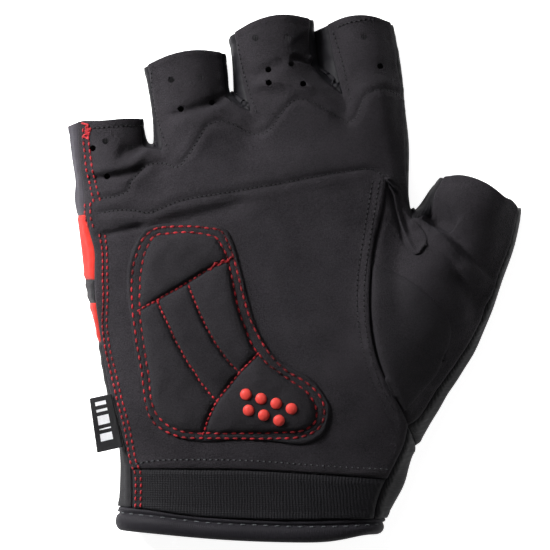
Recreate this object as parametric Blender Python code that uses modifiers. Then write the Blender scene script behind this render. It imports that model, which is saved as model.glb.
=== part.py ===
"""Fingerless glove for the right hand, lying on its back with the palm up.

X runs towards the thumb, Y towards the fingertips and Z up, in metres.
The tables hold shares: across is a share of GLOVE_WIDTH measured from the
middle line, along is a share of GLOVE_LENGTH measured from the lower hem.
"""

import math

import bmesh
import bpy
from mathutils import Matrix, Vector
from mathutils.bvhtree import BVHTree

COLLECTION = "fingerless_glove"

# Driving sizes.
GLOVE_WIDTH = 0.1338
GLOVE_LENGTH = 0.155
PALM_CROWN = 0.0225
FINGER_CROWN = 0.0155
THUMB_CROWN = 0.0195
VALLEY_HEIGHT = 0.0138
SEAM_HEIGHT = 0.0098
CLOTH = 0.0013
HALF_GAP = 0.00026
LAYER_GAP = 0.00035
UNDER_TURN = 0.0035
BINDING = 0.0018
PATCH_THICKNESS = 0.0009
CELL_HEIGHT = 0.0030
HOLE_DIAMETER = 0.0020
DOT_DIAMETER = 0.0034
DOT_HEIGHT = 0.0010
TAB_THICKNESS = 0.0015
TAB_LENGTH = 0.052
TAB_WIDTH = 0.018
LABEL_LENGTH = 0.0152
LABEL_REACH = 0.0066
LABEL_THICKNESS = 0.0011
THUMB_SWELL = 0.0040

EDGE_SHARE = 0.40
ARCH_POWER = 2.5
FINGER_POWER = 2.3

# Steps of the grids.
FINGER_COLUMNS = 6
FINGER_ROWS = 7
PALM_COLUMNS = 22
THUMB_ROW = 3
THUMB_STEPS = 11
BACK_STEPS = (0, 1, 2, 4, 7)
CUFF_ROWS = 3
CELL_COLUMNS = 6
CELL_ROWS = 7
BAND_ROWS = (0.0, 0.23, 0.46, 0.64, 0.82, 1.0)
PALM_SPANS = ((0.541, 9), (0.709, 3), (0.803, 2), (1.0, 3))

# along, seam across, outline across: the little finger's side.
LITTLE_SIDE = (
    (0.000, -0.351, -0.390),
    (0.068, -0.351, -0.388),
    (0.102, -0.351, -0.384),
    (0.154, -0.357, -0.382),
    (0.192, -0.369, -0.387),
    (0.241, -0.385, -0.400),
    (0.298, -0.402, -0.414),
    (0.349, -0.413, -0.424),
    (0.400, -0.422, -0.436),
    (0.457, -0.429, -0.452),
    (0.514, -0.431, -0.462),
    (0.562, -0.431, -0.469),
    (0.590, -0.443, -0.474),
    (0.622, -0.454, -0.477),
    (0.651, -0.456, -0.485),
    (0.676, -0.458, -0.481),
    (0.723, -0.466, -0.489),
    (0.784, -0.469, -0.498),
)

# along, seam across, foot of the palm's arch across: the thumb's side.
PALM_SIDE = (
    (0.000, 0.166, 0.181),
    (0.068, 0.177, 0.221),
    (0.106, 0.190, 0.245),
    (0.142, 0.210, 0.256),
    (0.178, 0.235, 0.271),
    (0.211, 0.248, 0.283),
    (0.243, 0.236, 0.296),
    (0.288, 0.208, 0.318),
    (0.332, 0.186, 0.327),
    (0.381, 0.171, 0.328),
    (0.429, 0.166, 0.322),
    (0.476, 0.165, 0.313),
    (0.531, 0.169, 0.298),
    (0.579, 0.175, 0.280),
    (0.626, 0.190, 0.262),
    (0.677, 0.197, 0.252),
    (0.780, 0.210, 0.256),
)

# along, seam across, outline across: the forefinger's outer side.
INDEX_SIDE = (
    (0.632, 0.245, 0.252),
    (0.689, 0.242, 0.254),
    (0.751, 0.241, 0.256),
    (0.820, 0.234, 0.247),
    (0.865, 0.230, 0.243),
    (0.920, 0.221, 0.234),
    (0.977, 0.208, 0.219),
)

# along, height of the palm's crown as a share of PALM_CROWN.
CROWNS = (
    (0.000, 0.86),
    (0.060, 0.88),
    (0.130, 0.90),
    (0.250, 1.00),
    (0.420, 1.00),
    (0.560, 0.93),
    (0.680, 0.86),
    (0.800, 0.80),
)

# across, along: where the palm's cloth ends above the wrist.
HEM_LINE = (
    (-0.351, 0.139),
    (-0.249, 0.140),
    (-0.098, 0.139),
    (0.014, 0.133),
    (0.135, 0.125),
    (0.199, 0.121),
)

# across, along: the seam between the palm and the finger fronts.
KNUCKLE_LINE = (
    (-0.456, 0.586),
    (-0.432, 0.581),
    (-0.373, 0.588),
    (-0.315, 0.598),
    (-0.234, 0.619),
    (-0.148, 0.636),
    (-0.074, 0.653),
    (0.014, 0.676),
    (0.102, 0.691),
    (0.165, 0.697),
    (0.197, 0.685),
    (0.223, 0.658),
    (0.245, 0.632),
)

# column, across: where the finger columns start on the knuckle line.
KNUCKLE_COLUMNS = (
    (0, -0.443),
    (6, -0.290),
    (12, -0.090),
    (18, 0.110),
    (22, 0.197),
    (24, 0.245),
)

# across, along: the two rims of the wrist's binding.
BINDING_TOP = (
    (-0.392, 0.0665),
    (-0.331, 0.0645),
    (-0.205, 0.051),
    (-0.118, 0.047),
    (-0.016, 0.044),
    (0.173, 0.046),
    (0.230, 0.046),
)
BINDING_BOTTOM = (
    (-0.390, 0.021),
    (-0.324, 0.017),
    (-0.192, 0.008),
    (-0.093, 0.003),
    (0.058, 0.000),
    (0.115, 0.002),
    (0.185, 0.014),
)

# step, then across and along for the seam and the outline of one finger and
# for the outline and the seam of the next, from the crotch to the tips.
NOTCHES = (
    (
        (0.00, -0.282, 0.734, -0.310, 0.750, -0.310, 0.750, -0.282, 0.734),
        (0.20, -0.322, 0.744, -0.319, 0.755, -0.309, 0.772, -0.291, 0.770),
        (0.55, -0.337, 0.767, -0.326, 0.776, -0.315, 0.827, -0.303, 0.831),
        (1.00, -0.342, 0.800, -0.330, 0.801, -0.329, 0.892, -0.316, 0.901),
    ),
    (
        (0.00, -0.087, 0.808, -0.133, 0.839, -0.133, 0.839, -0.087, 0.808),
        (0.20, -0.144, 0.835, -0.141, 0.850, -0.134, 0.863, -0.102, 0.852),
        (0.55, -0.156, 0.875, -0.143, 0.882, -0.136, 0.905, -0.115, 0.907),
        (1.00, -0.162, 0.924, -0.148, 0.922, -0.143, 0.951, -0.125, 0.962),
    ),
    (
        (0.00, 0.115, 0.839, 0.063, 0.882, 0.063, 0.882, 0.115, 0.839),
        (0.20, 0.047, 0.879, 0.053, 0.896, 0.060, 0.901, 0.107, 0.880),
        (0.55, 0.036, 0.932, 0.047, 0.937, 0.056, 0.935, 0.097, 0.928),
        (1.00, 0.030, 0.987, 0.042, 0.987, 0.052, 0.967, 0.082, 0.978),
    ),
)

# The thumb's inner side from the crotch to its opening, like the rows above.
THUMB_INNER = (
    (0.00, 0.258, 0.602, 0.260, 0.620),
    (0.20, 0.287, 0.628, 0.276, 0.639),
    (0.60, 0.313, 0.657, 0.300, 0.668),
    (1.00, 0.335, 0.679, 0.321, 0.687),
)

# step, then across and along for the seam and the outline of the thumb's
# outer side, from the wrist to the opening.
THUMB_OUTER = (
    (0.00, 0.254, 0.207, 0.271, 0.176),
    (0.14, 0.280, 0.243, 0.309, 0.230),
    (0.28, 0.329, 0.313, 0.353, 0.294),
    (0.38, 0.370, 0.359, 0.399, 0.351),
    (0.50, 0.405, 0.416, 0.430, 0.416),
    (0.60, 0.427, 0.457, 0.447, 0.457),
    (0.80, 0.463, 0.548, 0.484, 0.548),
    (0.93, 0.476, 0.590, 0.499, 0.600),
    (1.00, 0.476, 0.617, 0.493, 0.622),
)

# across, along: the seam between the back and the thumb's back.
BACK_THUMB_SEAM = (
    (0.240, 0.225),
    (0.236, 0.300),
    (0.238, 0.400),
    (0.243, 0.500),
    (0.250, 0.570),
)

# bow of the rim as a share of GLOVE_LENGTH, crown as a share of FINGER_CROWN.
FINGERS = (
    ("little", 0.005, 0.96),
    ("ring", 0.015, 1.00),
    ("middle", 0.020, 1.04),
    ("index", 0.018, 1.06),
)

# across, along of both ends, then height and half width in shares of GLOVE_LENGTH.
FOLDS = (
    (0.295, 0.590, 0.350, 0.525, -0.0150, 0.022),
    (0.350, 0.525, 0.420, 0.445, -0.0070, 0.020),
    (-0.440, 0.580, -0.325, 0.585, -0.0040, 0.026),
    (-0.325, 0.585, -0.150, 0.615, -0.0040, 0.026),
    (-0.330, 0.655, -0.100, 0.700, 0.0070, 0.028),
    (-0.050, 0.700, 0.100, 0.735, 0.0080, 0.032),
    (-0.090, 0.872, 0.070, 0.868, 0.0050, 0.018),
    (-0.275, 0.808, -0.140, 0.840, -0.0050, 0.016),
    (0.040, 0.430, 0.060, 0.560, -0.0085, 0.090),
    (0.200, 0.450, 0.240, 0.360, 0.0100, 0.060),
)

# across, along of the breathing holes.
HOLES = (
    (-0.411, 0.757),
    (-0.439, 0.744),
    (-0.358, 0.746),
    (-0.408, 0.691),
    (-0.267, 0.873),
    (-0.204, 0.877),
    (-0.246, 0.818),
    (-0.179, 0.831),
    (-0.083, 0.952),
    (-0.013, 0.952),
    (-0.055, 0.892),
    (-0.005, 0.903),
    (-0.054, 0.867),
    (0.021, 0.865),
    (0.154, 0.954),
    (0.189, 0.899),
)

# along, left across, right across of the sewn-on palm pad.
PAD_ROWS = (
    (0.601, -0.317, -0.160),
    (0.597, -0.330, -0.150),
    (0.580, -0.339, -0.139),
    (0.560, -0.347, -0.131),
    (0.526, -0.361, -0.120),
    (0.495, -0.363, -0.109),
    (0.448, -0.357, -0.096),
    (0.400, -0.351, -0.077),
    (0.365, -0.345, -0.052),
    (0.342, -0.340, -0.025),
    (0.326, -0.336, 0.005),
    (0.311, -0.332, 0.036),
    (0.285, -0.326, 0.063),
    (0.253, -0.321, 0.080),
    (0.224, -0.300, 0.079),
    (0.205, -0.262, 0.063),
    (0.194, -0.220, 0.030),
    (0.189, -0.180, 0.012),
)

# Corner lines of the raised cells: lower, upper, left and right, each a run
# of across and along from its lower left end.
CELLS = (
    (
        "cell_top",
        ((-0.331, 0.448), (-0.290, 0.472), (-0.246, 0.493), (-0.192, 0.520), (-0.156, 0.538)),
        ((-0.316, 0.578), (-0.270, 0.587), (-0.230, 0.588), (-0.195, 0.584), (-0.168, 0.572)),
        ((-0.331, 0.448), (-0.340, 0.500), (-0.334, 0.545), (-0.316, 0.578)),
        ((-0.156, 0.538), (-0.160, 0.556), (-0.168, 0.572)),
    ),
    (
        "cell_outer",
        ((-0.296, 0.240), (-0.274, 0.226), (-0.252, 0.219), (-0.230, 0.217), (-0.212, 0.216)),
        ((-0.334, 0.432), (-0.324, 0.438), (-0.314, 0.443), (-0.306, 0.448), (-0.298, 0.452)),
        ((-0.296, 0.240), (-0.314, 0.280), (-0.325, 0.350), (-0.334, 0.432)),
        ((-0.212, 0.216), (-0.205, 0.256), (-0.243, 0.345), (-0.298, 0.452)),
    ),
    (
        "cell_middle",
        ((-0.200, 0.220), (-0.192, 0.234), (-0.184, 0.246), (-0.176, 0.258), (-0.168, 0.268)),
        ((-0.286, 0.458), (-0.273, 0.464), (-0.260, 0.471), (-0.247, 0.477), (-0.234, 0.484)),
        ((-0.200, 0.220), (-0.192, 0.262), (-0.231, 0.348), (-0.286, 0.458)),
        ((-0.168, 0.268), (-0.160, 0.300), (-0.192, 0.385), (-0.234, 0.484)),
    ),
    (
        "cell_inner",
        ((-0.156, 0.281), (-0.147, 0.291), (-0.138, 0.300), (-0.130, 0.308), (-0.121, 0.317)),
        ((-0.222, 0.490), (-0.205, 0.499), (-0.188, 0.508), (-0.170, 0.517), (-0.152, 0.526)),
        ((-0.156, 0.281), (-0.150, 0.312), (-0.180, 0.395), (-0.222, 0.490)),
        ((-0.121, 0.317), (-0.108, 0.350), (-0.122, 0.430), (-0.152, 0.526)),
    ),
    (
        "cell_heel",
        ((-0.186, 0.212), (-0.120, 0.206), (-0.060, 0.205), (0.000, 0.209), (0.036, 0.222)),
        ((-0.154, 0.268), (-0.138, 0.286), (-0.120, 0.305), (-0.104, 0.322), (-0.088, 0.338)),
        ((-0.186, 0.212), (-0.180, 0.230), (-0.168, 0.250), (-0.154, 0.268)),
        ((0.036, 0.222), (0.048, 0.253), (0.018, 0.290), (-0.036, 0.316), (-0.088, 0.338)),
    ),
)

# across, along of the raised rubber dots.
DOTS = (
    (-0.104, 0.281),
    (-0.071, 0.273),
    (-0.038, 0.264),
    (-0.005, 0.254),
    (-0.098, 0.251),
    (-0.065, 0.242),
    (-0.032, 0.232),
)

# along, left across, right across of the thumb's reinforcing patch.
THUMB_PATCH_ROWS = (
    (0.520, 0.182, 0.190),
    (0.503, 0.178, 0.226),
    (0.480, 0.176, 0.268),
    (0.455, 0.175, 0.306),
    (0.422, 0.177, 0.331),
    (0.396, 0.182, 0.338),
    (0.370, 0.189, 0.333),
    (0.340, 0.199, 0.322),
    (0.317, 0.210, 0.308),
    (0.285, 0.226, 0.272),
    (0.262, 0.240, 0.250),
)

# along, left across, right across of the tongue over the thumb's crotch.
TONGUE_ROWS = (
    (0.680, 0.202, 0.236),
    (0.660, 0.214, 0.240),
    (0.635, 0.221, 0.245),
    (0.612, 0.230, 0.256),
    (0.586, 0.240, 0.272),
    (0.568, 0.252, 0.282),
    (0.552, 0.262, 0.279),
    (0.543, 0.268, 0.273),
)


def smooth(value):
    """Ease from 0 to 1."""
    value = min(max(value, 0.0), 1.0)
    return value * value * (3.0 - 2.0 * value)


def mix(first, second, share):
    """Value between two values or points."""
    return first * (1.0 - share) + second * share


def read_off(table, station, column=1):
    """Smooth value of a table's column; the first column is the station."""
    if station <= table[0][0]:
        return table[0][column]
    if station >= table[-1][0]:
        return table[-1][column]
    low = 0
    while table[low + 1][0] < station:
        low += 1

    def slope(row):
        before = table[max(row - 1, 0)]
        after = table[min(row + 1, len(table) - 1)]
        return (after[column] - before[column]) / (after[0] - before[0])

    span = table[low + 1][0] - table[low][0]
    step = (station - table[low][0]) / span
    start = table[low][column]
    end = table[low + 1][column]
    first = slope(low) * span
    second = slope(low + 1) * span
    cube = step ** 3
    square = step ** 2
    value = (2 * cube - 3 * square + 1) * start + (cube - 2 * square + step) * first
    return value + (3 * square - 2 * cube) * end + (cube - square) * second


def place(across, along, height=0.0):
    """Point of the glove from its shares."""
    return Vector((across * GLOVE_WIDTH, (along - 0.5) * GLOVE_LENGTH, height))


def shares(point):
    """Shares of a point of the glove."""
    return point.x / GLOVE_WIDTH, point.y / GLOVE_LENGTH + 0.5


def spread(points, count):
    """Points at even steps of length along a line."""
    lengths = [0.0]
    for first, second in zip(points, points[1:]):
        lengths.append(lengths[-1] + (second - first).length)
    result = []
    for step in range(count + 1):
        want = lengths[-1] * step / count
        low = 0
        while low < len(points) - 2 and lengths[low + 1] < want:
            low += 1
        run = max(lengths[low + 1] - lengths[low], 1e-9)
        result.append(mix(points[low], points[low + 1], (want - lengths[low]) / run))
    return result


def curve_points(pairs, count):
    """Smooth points through pairs of shares at even steps of length."""
    table = []
    for number, pair in enumerate(pairs):
        table.append((number, pair[0], pair[1]))
    fine = []
    last = len(pairs) - 1
    for step in range(8 * last + 1):
        station = step / 8
        fine.append(place(read_off(table, station, 1), read_off(table, station, 2)))
    return spread(fine, count)


def span_patch(lower, upper, left, right):
    """Grid between four lines; rows rise from the lower to the upper line."""
    rows = []
    columns = len(lower) - 1
    steps = len(left) - 1
    for row in range(steps + 1):
        up = row / steps
        line = []
        for column in range(columns + 1):
            over = column / columns
            across = mix(left[row], right[row], over)
            along = mix(lower[column], upper[column], up)
            low = mix(lower[0], lower[-1], over)
            high = mix(upper[0], upper[-1], over)
            line.append(across + along - mix(low, high, up))
        rows.append(line)
    return rows


def fold_height(point):
    """Height that the folds and soft swellings add at a point."""
    total = 0.0
    for across_a, along_a, across_b, along_b, height, reach in FOLDS:
        start = place(across_a, along_a)
        way = place(across_b, along_b) - start
        flat = Vector((point.x, point.y, 0.0)) - start
        share = min(max(flat.dot(way) / way.length_squared, 0.0), 1.0)
        away = (flat - way * share).length / (reach * GLOVE_LENGTH)
        total += height * GLOVE_LENGTH * math.exp(-away * away)
    return total


def palm_height(point):
    """Height of the palm's arch over the floor, inside the cloth."""
    _, along = shares(point)
    left = read_off(LITTLE_SIDE, along, 2) * GLOVE_WIDTH + CLOTH
    right = read_off(PALM_SIDE, along, 2) * GLOVE_WIDTH - CLOTH
    half = (right - left) / 2
    away = min(abs(point.x - (left + right) / 2) / half, 0.995)
    crown = read_off(CROWNS, along) * PALM_CROWN
    edge = crown * EDGE_SHARE
    return edge + (crown - edge) * (1.0 - away ** ARCH_POWER) ** (1.0 / ARCH_POWER)


def back_height(along):
    """Height of the back's cloth inside, raised over the wrist's tab."""
    lift = TAB_THICKNESS + LAYER_GAP
    return CLOTH + lift * smooth((0.280 - along) / 0.06)


def knuckle_row():
    """Points of the knuckle line at the finger columns."""
    row = []
    for column in range(4 * FINGER_COLUMNS + 1):
        low = 0
        while KNUCKLE_COLUMNS[low + 1][0] < column:
            low += 1
        first = KNUCKLE_COLUMNS[low]
        second = KNUCKLE_COLUMNS[low + 1]
        share = (column - first[0]) / (second[0] - first[0])
        across = mix(first[1], second[1], share)
        point = place(across, read_off(KNUCKLE_LINE, across))
        point.z = palm_height(point)
        row.append(point)
    return row


def palm_stations():
    """Shares of the palm's rows, with rows at the side's colour changes."""
    stations = [0.0]
    for end, steps in PALM_SPANS:
        start = stations[-1]
        for step in range(steps):
            stations.append(mix(start, end, (step + 1) / steps))
    return stations


def palm_grid():
    """Grid of the palm's cloth from the wrist's hem to the knuckle line."""
    upper = knuckle_row()[:PALM_COLUMNS + 1]
    left = []
    right = []
    for share in palm_stations():
        along = mix(HEM_LINE[0][1], shares(upper[0])[1], share)
        left.append(place(read_off(LITTLE_SIDE, along), along))
        along = mix(HEM_LINE[-1][1], shares(upper[-1])[1], share)
        right.append(place(read_off(PALM_SIDE, along), along))
    left[-1] = Vector((upper[0].x, upper[0].y, 0.0))
    right[-1] = Vector((upper[-1].x, upper[-1].y, 0.0))
    lower = []
    for column in range(PALM_COLUMNS + 1):
        across = mix(HEM_LINE[0][0], HEM_LINE[-1][0], column / PALM_COLUMNS)
        lower.append(place(across, read_off(HEM_LINE, across)))
    left[0] = lower[0]
    right[0] = lower[-1]
    flat_upper = [Vector((point.x, point.y, 0.0)) for point in upper]
    rows = span_patch(lower, flat_upper, left, right)
    for row in rows:
        for point in row:
            point.z = palm_height(point) + fold_height(point)
    return rows


def cuff_grid(hem_row):
    """Grid of the wrist's elastic, from the binding to the hem."""
    rows = []
    count = len(hem_row) - 1
    for step in range(CUFF_ROWS + 1):
        row = []
        for column in range(count + 1):
            across, along = shares(hem_row[column])
            low = read_off(BINDING_TOP, across) + 0.0005
            height = mix(low, along, step / CUFF_ROWS)
            left = read_off(LITTLE_SIDE, height)
            right = read_off(PALM_SIDE, height)
            point = place(mix(left, right, column / count), height)
            point.z = palm_height(point) + fold_height(point)
            row.append(point)
        rows.append(row)
    rows[-1] = [point.copy() for point in hem_row]
    return rows


def finger_end(finger, side, step):
    """Seam and outline points of one side of a finger at a step."""
    if finger == 0 and side == 0:
        along = mix(0.662, 0.784, step)
        seam = place(read_off(LITTLE_SIDE, along), along)
        edge = place(read_off(LITTLE_SIDE, along, 2), along)
        return seam, edge
    if finger == 3 and side == 1:
        along = mix(0.814, 0.977, step)
        seam = place(read_off(INDEX_SIDE, along), along)
        edge = place(read_off(INDEX_SIDE, along, 2), along)
        return seam, edge
    if side == 0:
        table = NOTCHES[finger - 1]
        seam = place(read_off(table, step, 7), read_off(table, step, 8))
        edge = place(read_off(table, step, 5), read_off(table, step, 6))
        return seam, edge
    table = NOTCHES[finger]
    seam = place(read_off(table, step, 1), read_off(table, step, 2))
    edge = place(read_off(table, step, 3), read_off(table, step, 4))
    return seam, edge


def finger_row(finger, step):
    """Points across a finger's front at a step from crotch to rim."""
    _, bow, crown_share = FINGERS[finger]
    left, _ = finger_end(finger, 0, step)
    right, _ = finger_end(finger, 1, step)
    sink = VALLEY_HEIGHT - (VALLEY_HEIGHT - SEAM_HEIGHT) * smooth(step / 0.35)
    left_height = SEAM_HEIGHT if finger == 0 else sink
    right_height = SEAM_HEIGHT if finger == 3 else sink
    crown = FINGER_CROWN * crown_share * mix(1.12, 1.0, smooth(step))
    row = []
    for column in range(FINGER_COLUMNS + 1):
        share = column / FINGER_COLUMNS
        away = abs(2 * share - 1)
        point = mix(left, right, share)
        point.y += bow * GLOVE_LENGTH * step * step * (1.0 - away * away)
        base = mix(left_height, right_height, share)
        point.z = base + (crown - base) * (1.0 - away ** FINGER_POWER)
        if 0 < column < FINGER_COLUMNS:
            point.z += fold_height(point)
        row.append(point)
    return row


def finger_grid(finger):
    """Grid of a finger's front."""
    return [finger_row(finger, step / FINGER_ROWS) for step in range(FINGER_ROWS + 1)]


def band_grid():
    """Grid between the knuckle line and the crotches."""
    lower = knuckle_row()
    upper = []
    for finger in range(4):
        row = finger_row(finger, 0.0)
        upper.extend(row if finger == 0 else row[1:])
    left = []
    right = []
    for share in BAND_ROWS:
        along = mix(shares(lower[0])[1], shares(upper[0])[1], share)
        left.append(place(read_off(LITTLE_SIDE, along), along))
        along = mix(shares(lower[-1])[1], shares(upper[-1])[1], share)
        right.append(place(read_off(INDEX_SIDE, along), along))
    flat_lower = [Vector((point.x, point.y, 0.0)) for point in lower]
    flat_upper = [Vector((point.x, point.y, 0.0)) for point in upper]
    left[0] = flat_lower[0]
    left[-1] = flat_upper[0]
    right[0] = flat_lower[-1]
    right[-1] = flat_upper[-1]
    rows = []
    columns = len(lower) - 1
    for number, share in enumerate(BAND_ROWS):
        row = []
        for column in range(columns + 1):
            over = column / columns
            point = mix(left[number], right[number], over)
            point += mix(flat_lower[column], flat_upper[column], share)
            low = mix(flat_lower[0], flat_lower[-1], over)
            high = mix(flat_upper[0], flat_upper[-1], over)
            point -= mix(low, high, share)
            palm = palm_height(point) + fold_height(point)
            point.z = mix(palm, upper[column].z, smooth(share) ** 2.0)
            row.append(point)
        rows.append(row)
    rows[-1] = [point.copy() for point in upper]
    return rows


def thumb_lines(palm, band):
    """Inner and outer lines of the thumb's front from the palm to the rim."""
    inner = [point.copy() for point in band[0][PALM_COLUMNS:]]
    steps = THUMB_STEPS - len(inner)
    inner_edges = []
    for step in range(steps + 1):
        share = step / steps
        point = place(read_off(THUMB_INNER, share, 1), read_off(THUMB_INNER, share, 2))
        point.z = mix(VALLEY_HEIGHT, SEAM_HEIGHT, smooth(share / 0.5))
        inner.append(point)
        edge = place(read_off(THUMB_INNER, share, 3), read_off(THUMB_INNER, share, 4))
        inner_edges.append(edge)
    outer = []
    outer_edges = []
    start = palm[THUMB_ROW][-1]
    for step in range(THUMB_STEPS + 1):
        share = step / THUMB_STEPS
        point = place(read_off(THUMB_OUTER, share, 1), read_off(THUMB_OUTER, share, 2))
        point.z = mix(start.z, SEAM_HEIGHT * 0.95, smooth(share / 0.25))
        outer.append(point)
        edge = place(read_off(THUMB_OUTER, share, 3), read_off(THUMB_OUTER, share, 4))
        outer_edges.append(edge)
    outer[0] = start.copy()
    return inner, inner_edges, outer, outer_edges


def thumb_grid(palm, inner, outer):
    """Grid of the thumb's front; rows run from the palm to the rim."""
    root = [palm[row][-1].copy() for row in range(len(palm) - 1, THUMB_ROW - 1, -1)]
    count = len(root) - 1
    rim = []
    axis = Vector((0.39, 0.92, 0.0))
    for column in range(count + 1):
        share = column / count
        away = abs(2 * share - 1)
        point = mix(inner[-1], outer[-1], share)
        point += axis * 0.012 * GLOVE_LENGTH * (1.0 - away * away)
        point.z += (THUMB_CROWN - SEAM_HEIGHT) * (1.0 - away ** FINGER_POWER)
        rim.append(point)
    rows = span_patch(root, rim, inner, outer)
    for number, row in enumerate(rows):
        up = number / (len(rows) - 1)
        for column, point in enumerate(row):
            over = column / count
            swell = math.sin(math.pi * over) * math.sin(math.pi * min(up, 0.999))
            point.z += THUMB_SWELL * swell
            if 0 < column < count and number > 0:
                point.z += fold_height(point)
    return rows


def right_hand_ways(edges):
    """Flat directions at the right hand of a line, one for each point."""
    ways = []
    last = len(edges) - 1
    for number in range(last + 1):
        run = edges[min(number + 1, last)] - edges[max(number - 1, 0)]
        ways.append(Vector((run.y, -run.x, 0.0)))
    return ways


def turn_strip(seams, edges, ways):
    """Grid of a side's strip from the front seam round to the back seam.

    Returns the rows and the points of the lower seam.
    """
    rows = []
    feet = []
    for number, seam in enumerate(seams):
        edge = edges[number]
        inward = ways[number].normalized()
        rim = Vector((edge.x, edge.y, 0.0)) + inward * CLOTH
        foot = rim + inward * UNDER_TURN
        floor = back_height(shares(seam)[1])
        middle = floor + (seam.z - floor) * 0.45
        row = []
        for step in range(3):
            point = mix(seam, rim, step / 2)
            point.z = mix(seam.z, middle, step / 2)
            row.append(point)
        for step in range(1, 4):
            angle = math.pi / 2 * step / 3
            point = mix(foot, rim, math.cos(angle))
            point.z = floor + (middle - floor) * (1.0 - math.sin(angle))
            row.append(point)
        rows.append(row)
        feet.append(row[-1].copy())
    return rows, feet


def little_strip(cuff, palm, band, finger):
    """Side strip on the little finger's side and its row numbers."""
    seams = [row[0] for row in cuff]
    seams += [row[0] for row in palm[1:]]
    seams += [row[0] for row in band[1:]]
    seams += [row[0] for row in finger[1:]]
    edges = []
    ways = []
    for seam in seams:
        along = shares(seam)[1]
        edges.append(place(read_off(LITTLE_SIDE, along, 2), along))
        ways.append(Vector((1.0, 0.0, 0.0)))
    return turn_strip(seams, edges, ways)


def notch_strip(number, left_finger, right_finger):
    """Strip between two fingers, down one side, round and up the other."""
    seams = []
    edges = []
    for step in range(FINGER_ROWS, 0, -1):
        seams.append(left_finger[step][-1])
        edges.append(finger_end(number, 1, step / FINGER_ROWS)[1])
    for step in range(FINGER_ROWS + 1):
        seams.append(right_finger[step][0])
        edges.append(finger_end(number + 1, 0, step / FINGER_ROWS)[1])
    return turn_strip(seams, edges, right_hand_ways(edges))


def web_strip(index, band, inner, inner_edges):
    """Strip from the forefinger's tip round the crotch to the thumb's rim."""
    seams = []
    edges = []
    for step in range(FINGER_ROWS, 0, -1):
        seams.append(index[step][-1])
        edges.append(finger_end(3, 1, step / FINGER_ROWS)[1])
    for row in range(len(band) - 1, -1, -1):
        seam = band[row][-1]
        along = shares(seam)[1]
        edge = place(read_off(INDEX_SIDE, along, 2), along)
        seams.append(seam)
        edges.append(edge)
    start = len(inner) - len(inner_edges)
    for number, edge in enumerate(inner_edges):
        seams.append(inner[start + number])
        edges.append(edge)
    return turn_strip(seams, edges, right_hand_ways(edges))


def cuff_side_strip(cuff, palm, thumb_edge):
    """Side strip at the wrist on the thumb's side."""
    seams = [row[-1] for row in cuff]
    seams += [palm[row][-1] for row in range(1, THUMB_ROW + 1)]
    edges = []
    ways = []
    last = shares(thumb_edge)[1]
    first = shares(seams[0])[1]
    for number, seam in enumerate(seams):
        along = mix(first, last, number / (len(seams) - 1))
        edges.append(place(read_off(PALM_SIDE, along, 2), along))
        ways.append(Vector((-1.0, 0.25, 0.0)))
    edges[-1] = thumb_edge
    return turn_strip(seams, edges, ways)


def thumb_back_grid(outer, outer_edges, web_feet, crotch_foot):
    """Grid of the thumb's back, from the outer seam to the back's seam."""
    ways = [-way for way in right_hand_ways(outer_edges)]
    strip, feet = turn_strip(outer, outer_edges, ways)
    line = []
    for pair in BACK_THUMB_SEAM:
        line.append(place(pair[0], pair[1], CLOTH))
    line.append(crotch_foot)
    steps = len(outer) - 1
    lower = round(steps * 0.6)
    inner = spread(line, lower)
    inner += spread([crotch_foot] + web_feet, steps - lower)[1:]
    rows = []
    for number, row in enumerate(strip):
        new_row = list(row)
        for share in (0.34, 0.67, 1.0):
            point = mix(feet[number], inner[number], share)
            point.z = back_height(shares(point)[1])
            new_row.append(point)
        rows.append(new_row)
    return rows


def back_grids(left_feet, cuff_feet, notch_feet, web_feet, crotch_foot):
    """Grids of the back: wrist to crotches, then one for each finger."""
    wide = 4 * 2
    steps = len(left_feet) - 1 - FINGER_ROWS
    line = list(cuff_feet)
    for pair in BACK_THUMB_SEAM:
        line.append(place(pair[0], pair[1], CLOTH))
    line.append(crotch_foot)
    index_feet = web_feet[:FINGER_ROWS + len(BAND_ROWS)]
    band_feet = list(reversed(index_feet))[:len(BAND_ROWS)]
    count = steps - (len(BAND_ROWS) - 1)
    right = spread(line, count - 1) + band_feet
    upper = [left_feet[steps]]
    for number in range(4):
        if number < 3:
            end = notch_feet[number][FINGER_ROWS]
        else:
            end = band_feet[-1]
        start = upper[-1]
        for share in (0.5, 1.0):
            upper.append(mix(start, end, share))
    chosen = list(range(0, count - 1, 2)) + list(range(count - 1, steps + 1))
    left = [left_feet[row] for row in chosen]
    picked = [right[row] for row in chosen]
    lower = []
    for column in range(wide + 1):
        lower.append(mix(left[0], picked[0], column / wide))
    body = span_patch(lower, upper, left, picked)
    for row in body:
        for point in row:
            point.z = back_height(shares(point)[1])
    grids = [body]
    for number in range(4):
        rows = []
        for step in BACK_STEPS:
            if number == 0:
                start = left_feet[steps + step]
            else:
                start = notch_feet[number - 1][FINGER_ROWS + step]
            if number == 3:
                end = index_feet[FINGER_ROWS - step]
            else:
                end = notch_feet[number][FINGER_ROWS - step]
            row = []
            for share in (0.0, 0.5, 1.0):
                point = mix(start, end, share)
                point.z = CLOTH
                row.append(point)
            rows.append(row)
        grids.append(rows)
    return grids


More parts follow.
